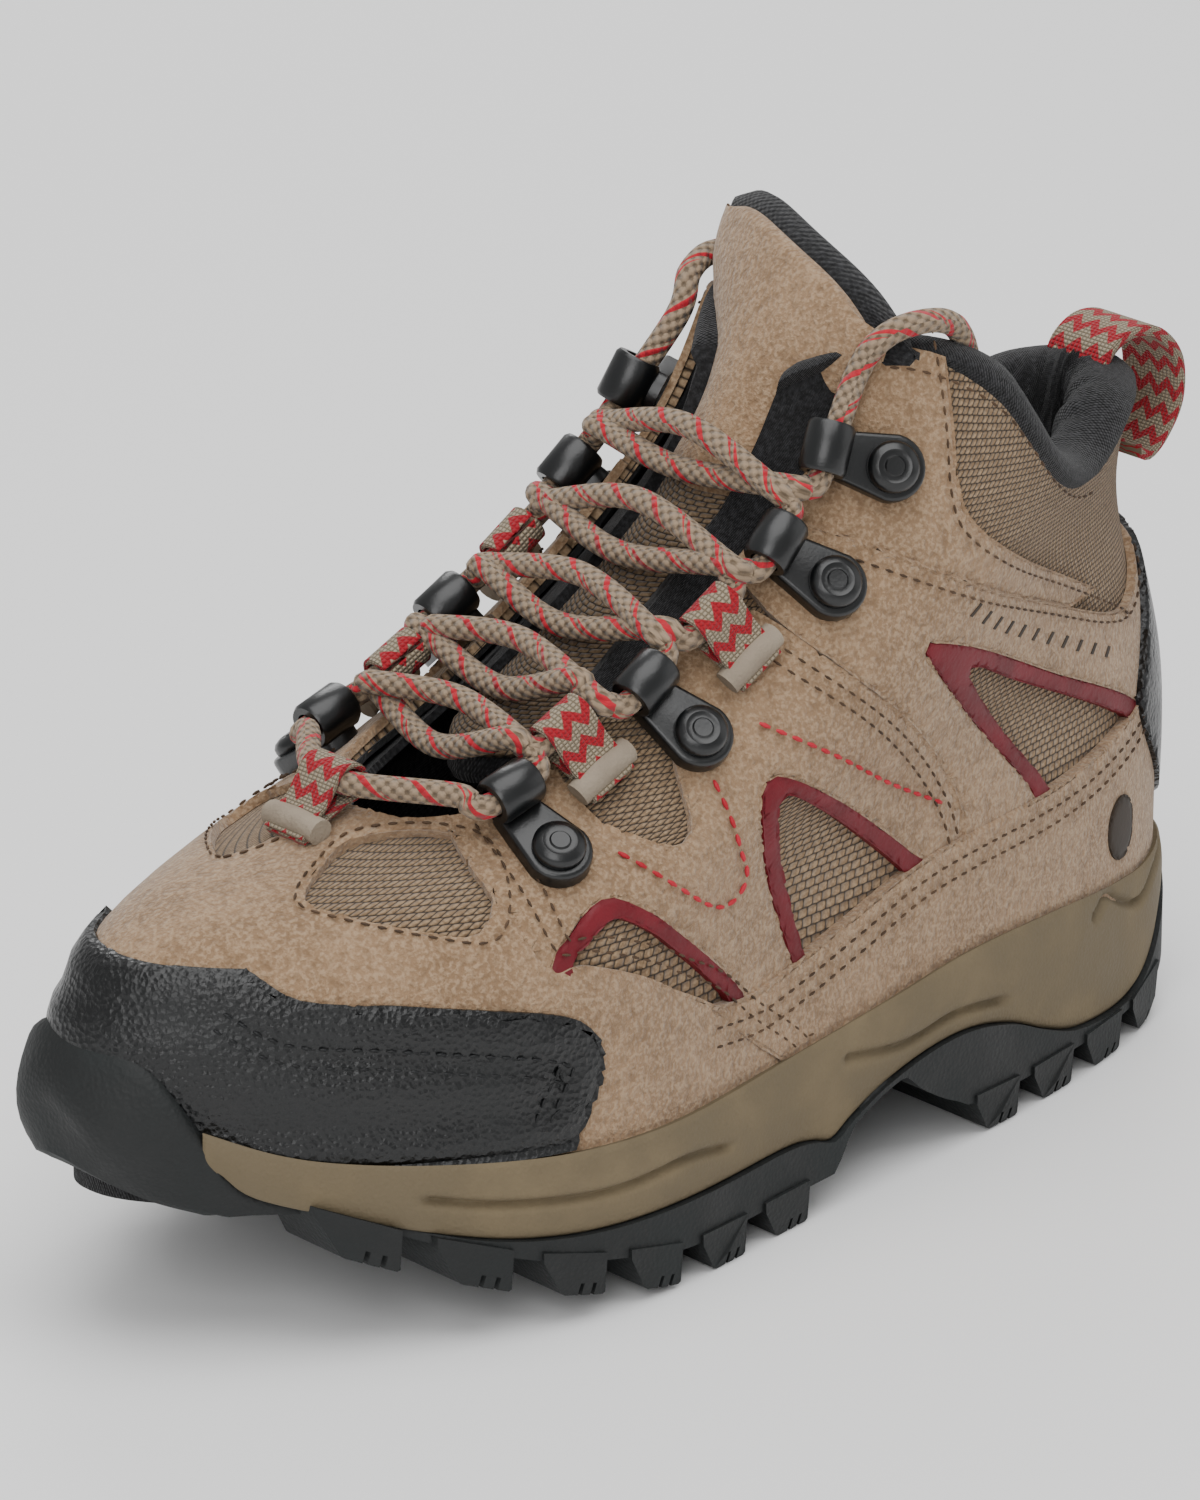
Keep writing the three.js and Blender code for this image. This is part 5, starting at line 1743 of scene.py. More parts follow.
        def place(u: Points, v: Points) -> Points:
            """Point of the shell; v goes from its top inner edge over the wall and in under the foot.

            Args:
                u: shares along.
                v: shares round.

            Returns:
                The points.
            """
            s = u * GIRTH
            toe = self.toe_share(s)
            index = np.rint(v * (len(rows) - 1)).astype(int)
            kinds = np.array([r[0] for r in rows])[index]
            share = np.array([r[1] for r in rows], float)[index]
            wall = self.edge(s, self.tread + self.bumper * toe)
            top = height_on(top_line, wall[:, 0])
            base = self.tread_base(wall[:, 0])
            base = np.minimum(base, top - 1.0)
            z = np.select(
                [kinds == "top", kinds == "wall"],
                [top - (1 - np.sin(share * np.pi / 2)) * 0.4, top + (base - top) * share],
                base,
            )
            rise = np.clip((z - 36) / 22, 0, 1)
            nose = eased(np.clip((-62 - wall[:, 0]) / 34, 0, 1))
            tuck = self.toe_tuck * nose
            sunk = np.clip((50 - z) / np.maximum(50 - base, 1), 0, 1)
            out = self.tread + self.bumper * toe - (9.0 * toe + 1.2) * rise**1.6 - tuck * sunk**2
            near_top = np.clip(1 - (top - z) / self.shoulder, 0, 1)
            out = out - self.shoulder * (1 - np.sqrt(1 - near_top**2)) * nose
            out = np.where(kinds == "top", out - (1 - share) * (6 + 3 * toe) - 0.5 * (1 - share), out)
            spot = self.edge(s, out)
            spot[:, 2] = z
            inner = np.stack([np.clip(wall[:, 0] * 0.96, -84, 104), 0 * z, 0 * z], -1)
            flat = self.edge(s, self.tread + self.bumper * toe - tuck)
            below = flat + (inner - flat) * share[:, None]
            below[:, 2] = self.tread_base(below[:, 0])
            return np.where((kinds == "under")[:, None], below, spot)

        shell = placed_grid(420, len(rows) - 1, (720, 60), place)
        cap_ends(shell)
        lugs = [self.lug(*place_of) for place_of in self.lug_table()]
        self.frame.piece(
            join([shell, *lugs]), "outsole_tread", self.finishes.rubber, "outsole_rubber", nodes=["outsole"],
            crease=42,
        )

    def lug_table(self) -> list[tuple[float, Side | None, float]]:
        """The lugs' places.

        Returns:
            Each lug's front end, its side (None for a middle one) and how far from the middle line it ends.
        """
        found = []
        front = np.arange(-92, -2, self.lug_pitch) + 2.75
        heel = np.arange(54.5, 112, self.lug_pitch) + 2.75
        for x in (*front, *heel):
            channel = self.heel_channel if x > self.waist else self.channel
            found += [(x, side, channel) for side in Side]
            if x > -84:
                found.append((x, None, channel - self.gully))
        return found

    def lug(self, front: float, side: Side | None, reach: float) -> Shape:
        """One lug: a slanted front, a square back and two sipes.

        Args:
            front: where its front end is.
            side: the side whose edge it runs in from, or None for a middle one.
            reach: how far from the middle line it ends.

        Returns:
            The shape in millimetres.
        """
        length = self.lug_length if front < self.waist else self.heel_lug_length
        profile = np.array(
            [
                (0, 1.25), (0, 0.95), (length * 0.3, 0.06), (length * 0.36, 0), (length * 0.56, 0),
                (length * 0.56, 0.4), (length * 0.62, 0.4), (length * 0.62, 0), (length * 0.76, 0),
                (length * 0.76, 0.4), (length * 0.82, 0.4), (length * 0.82, 0), (length * 0.97, 0),
                (length, 0.08), (length, 1.25),
            ]
        )
        count = len(profile)
        ring = np.linspace(0, GIRTH, 1201)
        edge = self.edge(ring, self.tread + 0.6)

        def place(u: Points, v: Points) -> Points:
            """Point of the lug; u goes across it and v round its profile.

            Args:
                u: shares along.
                v: shares round.

            Returns:
                The points.
            """
            row = np.rint(v * count).astype(int) % count
            x = front + profile[row, 0]
            z = height_on(GROUND_LINE, x) + profile[row, 1] * self.lug_depth
            if side is None:
                return np.stack([x, -reach + (reach + reach) * u, z], -1)
            half = slice(1, 600) if side is Side.OUTER else slice(601, 1200)
            order = np.argsort(edge[half, 0])
            rim = np.interp(x, edge[half, 0][order], edge[half, 1][order])
            y = rim + (-side.value * reach - rim) * u
            y = y + np.where(u < 0.01, side.value * 0.9 * (1 - np.clip(profile[row, 1] * 3, 0, 1)), 0)
            return np.stack([x, y, z], -1)

        return cap_ends(placed_grid(3, count, (30, 30), place))

    def footbed(self) -> None:
        """The removable insole, dished at the heel."""

        def place(u: Points, v: Points) -> Points:
            """Point of the footbed; v goes from under its rim out, over and in.

            Args:
                u: shares along.
                v: shares round.

            Returns:
                The points.
            """
            s = u * GIRTH
            rows = np.array(
                [
                    (-26, 0.0), (-6.5, 0.0), (-6.0, 0.9), (-6.0, 4.2), (-7.2, 5.0), (-11, 4.3), (-17, 3.2),
                    (-26, 2.8),
                ]
            )
            row = np.rint(v * (len(rows) - 1)).astype(int)
            spot = self.edge(s, rows[row, 0])
            spot[:, 2] = 31.2 - (spot[:, 0] + 160) * 8.4 / 340 + 2.9 + rows[row, 1]
            return spot

        bm = placed_grid(160, 7, (500, 60), place)
        self.frame.piece(cap_ends(bm), "footbed_insole", self.finishes.lining, "black_lining", nodes=["footbed"])

    def build(self) -> None:
        """Builds every piece of the sole."""
        self.midsole()
        self.outsole()
        self.footbed()


# ------------------------------------------------------------------ padding


@dataclass
class Collar:
    """Padded collar and lining: a soft black roll that turns in over the topline."""

    frame: Frame
    finishes: Finishes
    section: tuple = (
        (-0.9, -4.0), (0.9, -1.6), (1.2, 0.9), (-0.2, 3.0), (-2.8, 4.4), (-6.0, 4.3), (-8.8, 2.4), (-10.4, -1.5),
        (-10.6, -7.0), (-9.8, -14.0), (-8.6, -22.0), (-7.6, -32.0), (-6.4, -42.0), (-5.0, -48.0), (-3.4, -44.0),
        (-3.0, -30.0), (-2.6, -14.0),
    )

    def rim(self) -> Points:
        """The collar line once round, from the outer side's front over the heel to the inner side's.

        Returns:
            Pattern points.
        """
        line = seam(COLLAR_LINE)
        line = line[(line[:, 0] > 6)]
        start = int(np.argmax(np.array(LAST.surface(line[:, 0], line[:, 1]))[:, 0] > 33))
        half = line[start:]
        other = (half * np.array([-1, 1]) + np.array([GIRTH, 0]))[::-1]
        return resample(np.concatenate([half, other]), 2.6)

    def build(self) -> None:
        """Builds the roll with its inner pad, and the lining below it."""
        rim = self.rim()
        x = LAST.surface(rim[:, 0], rim[:, 1])[:, 0]
        soft = eased(np.clip((x - 50) / 22, 0, 1))
        section = spline(self.section, closed=True, spacing=2.2)
        count = len(section)

        def place(u: Points, v: Points) -> Points:
            """Point of the collar; u goes along the topline and v round the section.

            Args:
                u: shares along.
                v: shares round.

            Returns:
                The points.
            """
            i = np.clip(np.rint(u * (len(rim) - 1)).astype(int), 0, len(rim) - 1)
            j = np.rint(v * count).astype(int) % count
            full = soft[i]
            out, drop = section[j, 0], section[j, 1]
            top = drop > -6
            out = np.where(out > -3, out, -3 + (out + 3) * (0.45 + 0.55 * full)) - 0.2
            drop = np.where(top, drop * (0.4 + 0.6 * full), drop)
            crease = 0.55 * np.sin(rim[i, 0] * 0.31) + 0.35 * np.sin(rim[i, 0] * 0.73 + drop * 0.2)
            out = out - crease * (out < -5) * full
            return LAST.place(rim[i, 0], rim[i, 1] + drop, out)

        bm = placed_grid(len(rim) - 1, count, (len(rim) * 2.6, count * 2.2), place)
        piece = self.frame.piece(cap_ends(bm), "collar_padding_roll", self.finishes.lining, "black_lining",
            nodes=["collar_padding"])
        lining = PatternPiece((0, GIRTH), (-4, RISE), 3.4)
        opening = self.topline()
        lining.cut(opening, Cut.KEEP_INSIDE)
        for shift in (0, GIRTH):
            lining.cut(throat(-0.5) + np.array([shift, 0]), Cut.KEEP_OUTSIDE)
        self.frame.piece(lining.lasted(-4.6, -3.2, 0), "lining_sleeve", self.finishes.lining, "black_lining",
            nodes=["lining_bootie"])

    def topline(self) -> Points:
        """Outline of the lining, just below the collar line.

        Returns:
            The closed outline.
        """
        line = seam(COLLAR_LINE)
        line[0] = (0, ABOVE)
        half = np.concatenate([line, [(HEEL, line[-1, 1])]]) - np.array([0, 2.5])
        other = (half * np.array([-1, 1]) + np.array([GIRTH, 0]))[::-1]
        return np.concatenate([half, other, [(GIRTH, UNDER), (0, UNDER)]])


@dataclass
class Tongue:
    """The padded tongue: a black quilted pad, a woven face over the instep and a suede cover at its top."""

    frame: Frame
    finishes: Finishes
    width: tuple = ((0, 15.0), (0.2, 18.5), (0.5, 20.0), (0.7, 22.5), (0.85, 26.0), (1.0, 26.5))
    top: float = RISE + 6
    low: float = 66.0  # pattern height of its front end
    cover_from: float = 0.52  # where the suede starts, along its length
    flare_from: float = 0.62  # where its top starts to stand flatter than the last
    flare_to: float = 0.92
    flat_bow: float = 0.011  # how the flat top bows back, per millimetre
    tilt: float = 6.0  # how much higher its inner corner stands

    def girth_at(self, t: Points, y: Points) -> Points:
        """Girth at which the last's surface is y to the side, at height t.

        Args:
            t: heights.
            y: places to the side.

        Returns:
            The girths.
        """
        grid = np.linspace(0, 110, 56)
        result = np.zeros(len(t))
        for side in (1, -1):
            spots = LAST.surface(grid[None] * side, np.minimum(t, RISE)[:, None])[..., 1] * -side
            for k in np.nonzero(np.sign(y) == side)[0]:
                run = np.maximum.accumulate(spots[k])
                result[k] = side * np.interp(abs(y[k]), run, grid)
        return result

    def slab(
        self, span: tuple[float, float], narrow: float, outs: tuple[float, float], crown: float,
        columns: int = 26, rows: int = 54,
    ) -> Shape:
        """A closed slab over part of the tongue.

        Args:
            span: its ends along the tongue, from 0 at the toe end to 1 at the top.
            narrow: how much narrower than the tongue it is on each side.
            outs: distance of its underside and top from the last.
            crown: how far its middle swells.
            columns: faces across.
            rows: faces along.

        Returns:
            The shape in millimetres.
        """
        bm = bmesh.new()
        bmesh.ops.create_grid(bm, x_segments=columns, y_segments=rows, size=0.5)
        made = bmesh.ops.extrude_face_region(bm, geom=list(bm.faces))["geom"]
        for item in made:
            if isinstance(item, bmesh.types.BMVert):
                item.co.z = 1

        def place(co: Points) -> Points:
            """Lays the flat slab on the instep.

            Args:
                co: flat places.

            Returns:
                The points.
            """
            across, along = co[:, 0] * 2, co[:, 1] + 0.5
            corner = np.clip((along - 0.93) / 0.07, 0, 1)
            share = span[0] + (span[1] - span[0]) * along
            t = self.low + (self.top - self.low) * share
            t = t - 5.0 * corner * np.abs(across) ** 4 - self.tilt * share**3 * across
            half = np.interp(share, *zip(*self.width)) - narrow
            side_way = across * half
            s = self.girth_at(t, side_way)
            rim = np.minimum((1 - np.abs(across)) * half, np.minimum(along, 1 - along) * 90 + 0.01)
            full = np.sqrt(np.clip(rim / 3.5, 0, 1))
            thick = (outs[1] - outs[0]) * (0.35 + 0.65 * full)
            out = np.where(co[:, 2] > 0.5, outs[0] + thick + crown * full, outs[0])
            ridge_normal = LAST.normal(np.zeros_like(t), t)
            bow = self.flat_bow * side_way**2
            flat = LAST.surface(np.zeros_like(t), t) + ridge_normal * (out - bow)[:, None]
            flat[:, 1] -= side_way
            flare = eased(np.clip((share - self.flare_from) / (self.flare_to - self.flare_from), 0, 1)[:, None])
            return LAST.place(s, t, out) * (1 - flare) + flat * flare

        write_uv(bm, lambda co: (co.x * 45, co.y * 110))
        move_all(bm, place)
        return bm

    def build(self) -> None:
        """Builds the pad, its woven face and its suede cover."""
        pad = self.frame.piece(self.slab((0, 1), 0, (-11.0, -6.2), 0.4), "tongue_padding", self.finishes.lining,
            "black_lining", "tongue", ["tongue_pad"])
        face = self.slab((0.02, self.cover_from + 0.02), 1.2, (-6.6, -5.4), 0.3)
        self.frame.piece(face, "tongue_woven_face", self.finishes.weave, "upper_mesh", "tongue")
        cover = self.slab((self.cover_from, 0.965), 2.4, (-6.0, -4.4), 0.5)
        self.frame.piece(
            cover, "tongue_suede_cover", self.finishes.suede, "tan_suede", "tongue", ["tongue_cover"]
        )


# ------------------------------------------------------------------ lacing


@dataclass(frozen=True)
class Seat:
    """A place on one side of the instep, with the way towards the other side, out, and across."""

    origin: Points
    along: Points
    across: Points
    out: Points

    @staticmethod
    def at(base: Sequence[float], tip: Sequence[float], side: Side) -> Seat:
        """The seat between two side-view points.

        Args:
            base: point (x, z) at its outer end.
            tip: point (x, z) at its inner end.
            side: which side.

        Returns:
            The seat.
        """
        ends = LAST.locate([base, tip])
        s, t = ends.mean(0) * np.array([side.value, 1])
        out = LAST.normal(np.array(s), np.array(t))
        spots = LAST.surface(ends[:, 0] * side.value, ends[:, 1])
        reach = spots[1] - spots[0]
        reach = reach - out * (reach @ out)
        along = reach / np.linalg.norm(reach)
        return Seat(LAST.surface(np.array(s), np.array(t)), along, np.cross(out, along), out)

    def spot(self, along: float, across: float, out: float) -> Points:
        """A point in the seat's own directions."""
        return self.origin + self.along * along + self.across * across + self.out * out

    def carry(self, bm: Shape) -> Shape:
        """Moves a shape from the seat's own axes (along, across, out) to its place.

        Args:
            bm: the shape.

        Returns:
            The same shape.
        """
        axes = np.stack([self.along, self.across, self.out])
        move_all(bm, lambda co: self.origin + co @ axes)
        return bm


HOOK_PLACES = {
    "lower": ((-35, 75), (-37, 84)),
    "middle": ((-1, 88), (-8, 98.5)),
    "upper": ((30, 108.5), (21.5, 116.5)),
    "top": ((46, 126.5), (35.5, 130.5)),
}
LOOP_PLACES = {"lower": ((-20.5, 85.5), (-23.5, 92.5)), "upper": ((11.5, 99), (6.5, 108))}
VAMP_LOOP = ((-64, 79), (-55, 82.6))
SEAT_RISE = 3.6  # top of the seated suede above the last
HOOK_PITCH = 14.0
HOOK_EYE = 4.3
LOOP_PITCH = 8.0
LOOP_EYE = 3.8
LACE_RADIUS = 2.2


@dataclass
class Hooks:
    """Moulded lace hooks, each held by a domed rivet."""

    frame: Frame
    finishes: Finishes
    width: float = 12.0
    eye_width: float = 9.0
    plate: float = 2.0

    def plate_shape(self) -> Shape:
        """The teardrop plate with a chamfered edge.

        Returns:
            The shape in its seat's axes.
        """
        half = HOOK_PITCH / 2
        big, small = self.width / 2, self.eye_width / 2 - 0.6
        turn = np.linspace(np.pi / 2, 3 * np.pi / 2, 15)
        back = np.stack([np.cos(turn) * big - half + 1.5, np.sin(turn) * big], -1)
        nose = np.linspace(-np.pi / 2, np.pi / 2, 9)
        front = np.stack([np.cos(nose) * 2 + half - 1.0, np.sin(nose) * small], -1)
        bm = bmesh.new()
        corners = [bm.verts.new((x, y, SEAT_RISE - 1.7)) for x, y in np.concatenate([back, front])]
        face = bm.faces.new(corners)
        made = bmesh.ops.extrude_face_region(bm, geom=[face])["geom"]
        top = [item for item in made if isinstance(item, bmesh.types.BMVert)]
        bmesh.ops.translate(bm, vec=(0, 0, self.plate + 1.4), verts=top)
        rim = [e for e in bm.edges if all(v in top for v in e.verts)]
        bmesh.ops.bevel(bm, geom=rim, offset=0.8, segments=3, profile=0.5, affect="EDGES", material=-1)
        return bm

    def eye_shape(self, is_open: bool) -> Shape:
        """The lace tunnel at the hook's tip: a tube, or an open hook for the top one.

        Args:
            is_open: whether it is an open hook.

        Returns:
            The shape in its seat's axes.
        """
        centre = (HOOK_PITCH / 2, SEAT_RISE + HOOK_EYE)
        inner, outer = LACE_RADIUS + 0.4, HOOK_EYE
        start, stop = (-0.5 * np.pi, 1.15 * np.pi) if is_open else (-np.pi, np.pi)
        turn = np.linspace(start, stop, 33)
        middle = (inner + outer) / 2
        path = np.stack([np.cos(turn) * middle + centre[0], 0 * turn, np.sin(turn) * middle + centre[1]], -1)
        wall = outer - inner
        half = self.eye_width / 2
        section = np.array(
            [
                (half, -wall / 2), (half, wall / 4), (half - 0.7, wall / 2), (0, wall / 2),
                (-half + 0.7, wall / 2), (-half, wall / 4), (-half, -wall / 2), (0, -wall / 2),
            ]
        )

        def place(u: Points, v: Points) -> Points:
            """Point of the tunnel wall.

            Args:
                u: shares along.
                v: shares round.

            Returns:
                The points.
            """
            i = np.rint(u * 32).astype(int)
            j = np.rint(v * 8).astype(int) % 8
            away = path[i] - np.array([centre[0], 0, centre[1]])
            away /= np.linalg.norm(away, axis=1, keepdims=True)
            return path[i] + away * section[j, 1:] + np.array([0, 1, 0]) * section[j, :1]

        bm = placed_grid(32, 8, (30, 20), place)
        return cap_ends(bm) if is_open else bm

    def rivet_shape(self) -> Shape:
        """The domed rivet cap with a dished middle.

        Returns:
            The shape in its seat's axes.
        """
        bm = bmesh.new()
        line = [
            (0.0, 2.1), (1.6, 2.15), (1.9, 1.85), (2.5, 1.8), (3.0, 2.0), (4.0, 1.6), (4.6, 0.9), (4.7, 0.0),
            (4.4, -0.6),
        ]
        verts = [bm.verts.new((r, 0, z)) for r, z in line]
        edges = [bm.edges.new(pair) for pair in zip(verts, verts[1:])]
        bmesh.ops.spin(
            bm, geom=[*verts, *edges], cent=(0, 0, 0), axis=(0, 0, 1), angle=2 * math.pi, steps=28, use_merge=True
        )
        bmesh.ops.remove_doubles(bm, verts=bm.verts, dist=0.01)
        cap_ends(bm)
        bmesh.ops.translate(bm, vec=(-HOOK_PITCH / 2 + 1.5, 0, SEAT_RISE + self.plate + 0.2), verts=bm.verts)
        return bm

    def build(self) -> None:
        """Builds the eight hooks and their rivets."""
        for side in Side:
            for name, (base, tip) in HOOK_PLACES.items():
                seat = Seat.at(base, tip, side)
                hook = join([self.plate_shape(), self.eye_shape(name == "top")])
                label = f"{name}_{side.name.lower()}"
                self.frame.piece(
                    seat.carry(hook), f"lace_hook_{label}", self.finishes.nylon, "hook_nylon",
                    nodes=[f"hook_{label}"], crease=35,
                )
                rivet = seat.carry(self.rivet_shape())
                self.frame.piece(
                    rivet, f"hook_rivet_{label}", self.finishes.nylon, "hook_nylon", nodes=[f"rivet_{label}"],
                    crease=40,
                )


@dataclass
class WebbingLoops:
    """Figured tape loops that carry the lace, each from a grey rolled tunnel."""

    frame: Frame
    finishes: Finishes
    width: float = 10.0
    thickness: float = 1.1

    def loop_shape(self) -> Shape:
        """The tape: out from its root, round the lace and back.

        Returns:
            The shape in its seat's axes.
        """
        centre = (LOOP_PITCH / 2, SEAT_RISE + LOOP_EYE)
        radius = LACE_RADIUS + 0.4 + self.thickness / 2
        turn = np.linspace(-0.62 * np.pi, 0.72 * np.pi, 19)
        bend = [(centre[0] + radius * math.cos(a), centre[1] + radius * math.sin(a)) for a in turn]
        line = [(-8.5, 2.6), (-5, 3.6), (-1.5, 4.3), *bend, (-1.8, 6.6), (-5, 5.4), (-8.5, 3.6)]
        path = spline([(x, 0, z) for x, z in line], spacing=0.7)
        return sweep(path, strap(self.width, self.thickness, 0.3), up=(0.02, 0, 1))

    def root_shape(self) -> Shape:
        """The rolled tunnel that the tape comes out of.

        Returns:
            The shape in its seat's axes.
        """
        half = self.width / 2 + 1.2
        path = np.array([(-5.6, y, 4.4 - 0.014 * y * y) for y in np.linspace(-half, half, 17)])
        return sweep(path, circle(2.4, 14), up=(0, 0, 1))

    def build(self) -> None:
        """Builds the four side loops and the one on the vamp."""
        for side in Side:
            for name, (base, tip) in LOOP_PLACES.items():
                seat = Seat.at(base, tip, side)
                label = f"{name}_{side.name.lower()}"
                self.frame.piece(
                    seat.carry(self.loop_shape()), f"webbing_tape_{label}", self.finishes.webbing, "webbing",
                    nodes=[f"webbing_loop_{label}"],
                )
                self.frame.piece(
                    seat.carry(self.root_shape()), f"webbing_tunnel_{label}", self.finishes.grey, "webbing"
                )
        vamp = vamp_seat()
        self.frame.piece(vamp.carry(self.loop_shape()), "webbing_tape_vamp", self.finishes.webbing, "webbing",
            nodes=["webbing_loop_vamp"])
        self.frame.piece(vamp.carry(self.root_shape()), "webbing_tunnel_vamp", self.finishes.grey, "webbing")


def ridge(x: float, z: float, out: float, up: float = 0.0) -> Points:
    """The point of the last's middle line nearest to a side-view place, moved outwards and up the line.

    Args:
        x: place along.
        z: height.
        out: how far outwards.
        up: how far up the line.

    Returns:
        The point.
    """
    t = np.linspace(30, RISE + 12, 300)
    line = LAST.surface(np.zeros_like(t), t)
    k = int(((line[:, 0] - x) ** 2 + (line[:, 2] - z) ** 2).argmin())
    return LAST.place(np.array(0.0), t[k] + up, out)


def vamp_seat() -> Seat:
    """The seat of the loop on the vamp, on the boot's middle line.

    Returns:
        The seat.
    """
    spots = [ridge(x, z, 0) for x, z in VAMP_LOOP]
    along = (spots[1] - spots[0]) / np.linalg.norm(spots[1] - spots[0])
    across = np.array([0.0, 1.0, 0.0])
    out = np.cross(along, across)
    return Seat((spots[0] + spots[1]) / 2, along, across, out)


@dataclass
class Lacing:
    """The lace, crossed through hooks and loops, with a hard tip on each end."""

    frame: Frame
    finishes: Finishes
    reach: float = 5.1
    tip_length: float = 20.0
    under: float = -1.1
    over: float = 2.6
    spread: float = 2.4  # how far two crossing strands lie apart at the middle, each way
    bend: tuple = ((0.0, 0.0), (2.4, 2.2), (3.0, 5.0))  # past an eye, and towards the middle
    tuck: tuple = ((41, 22.5, 144), (46, 24.5, 150.5), (54, 26.5, 152), (62, 25.6, 149), (66.5, 24.4, 142),
        (67.5, 24.2, 134))  # the end, over the collar and down beside the tongue

    def eyes(self, side: Side) -> list[tuple[Points, Points, Points]]:
        """The lace eyes of one side, from the toe up.

        Args:
            side: which side.

        Returns:
            Each eye's middle, the way its tunnel runs upwards, and the way to the boot's middle.
        """
        order = [
            ("hook", "lower"), ("loop", "lower"), ("hook", "middle"), ("loop", "upper"), ("hook", "upper"),
            ("hook", "top"),
        ]
        found = []
        for kind, name in order:
            is_hook = kind == "hook"
            base, tip = (HOOK_PLACES if is_hook else LOOP_PLACES)[name]
            seat = Seat.at(base, tip, side)
            pitch, eye = (HOOK_PITCH, HOOK_EYE) if is_hook else (LOOP_PITCH, LOOP_EYE)
            tunnel = seat.across if seat.across[2] > 0 else -seat.across
            found.append((seat.spot(pitch / 2, 0, SEAT_RISE + eye), tunnel, seat.along))
        return found

    def turns(self, eye: tuple, leaving: bool) -> list[Points]:
        """The lace's bend beside an eye.

        Args:
            eye: the eye's middle, tunnel and way to the boot's middle.
            leaving: whether the lace leaves upwards, or comes from below.

        Returns:
            The bend's points, in the order the lace takes them.
        """
        middle, tunnel, along = eye
        way = 1 if leaving else -1
        points = [middle + tunnel * way * (self.reach + past) + along * turn for past, turn in self.bend]
        return points if leaving else points[::-1]

    def path(self) -> Points:
        """The whole route from one end to the other.

        Returns:
            Evenly spaced points.
        """
        eyes = {side: self.eyes(side) for side in Side}
        other = {Side.OUTER: Side.INNER, Side.INNER: Side.OUTER}

        def strand(side: Side) -> list[Points]:
            """The strand from the bottom eye of one side up to its end.

            Args:
                side: the side it starts from.

            Returns:
                Points to be smoothed.
            """
            now = side
            points = []
            top = len(eyes[side]) - 1
            for k in range(top + 1):
                eye = eyes[now][k]
                if k:
                    points += self.turns(eye, leaving=False)
                if k < top:
                    points += self.turns(eye, leaving=True)
                    ahead = eyes[other[now]][k + 1]
                    middle = (eye[0] + ahead[0]) / 2
                    is_over = side is Side.OUTER
                    out, up = (self.over, self.spread) if is_over else (self.under, -self.spread)
                    points.append(ridge(middle[0], middle[2], out, up))
                    now = other[now]
            points += [np.array((x, -now.value * y, z)) for x, y, z in self.tuck]
            return points

        seat = vamp_seat()
        middle = seat.spot(LOOP_PITCH / 2, 0, SEAT_RISE + LOOP_EYE)
        sideways = np.array([0, self.reach, 0])
        bar = self.turns(eyes[Side.OUTER][0], leaving=False)[::-1] + [middle - sideways, middle + sideways]
        bar += self.turns(eyes[Side.INNER][0], leaving=False)
        return spline([*strand(Side.OUTER)[::-1], *bar, *strand(Side.INNER)], spacing=0.8)

    def build(self) -> None:
        """Builds the lace and its two tips."""
        path = self.path()
        bm = sweep(path, circle(LACE_RADIUS, 14))
        self.frame.piece(bm, "lace_cord", self.finishes.lace, "lace_cord", nodes=["lace"])
        for end, before in ((path[0], path[3]), (path[-1], path[-4])):
            way = (end - before) / np.linalg.norm(end - before)
            share = np.linspace(0, 1, 12)
            tip = end + way * (0.2 + self.tip_length * share[:, None])
            label = "outer" if end[1] < 0 else "inner"
            cap = sweep(tip, circle(LACE_RADIUS / 1.2, 14), up=(1, 0, 0.01))
            self.frame.piece(
                cap, f"lace_tip_{label}", self.finishes.nylon, "aglet_film", nodes=[f"aglet_{label}"]
            )


@dataclass
class PullLoop:
    """The finger loop of figured webbing on the heel."""

    frame: Frame
    finishes: Finishes
    width: float = 15.0
    thickness: float = 2.0

    def build(self) -> None:
        """Builds the loop."""
        line = [
            (119, 120.8), (121.5, 125.5), (127, 128), (134, 126.5), (139.5, 120.5), (140, 112.5), (136.5, 106.5),
            (132.5, 103.5), (129.5, 104.5),
        ]
        path = spline([(x, 0, z) for x, z in line], spacing=1.0)
        bm = sweep(path, strap(self.width, self.thickness, 0.5)[:, ::-1], up=(0, 1, 0))
        self.frame.piece(bm, "heel_pull_tape", self.finishes.webbing, "webbing", nodes=["pull_loop"])


# ------------------------------------------------------------------ the stage


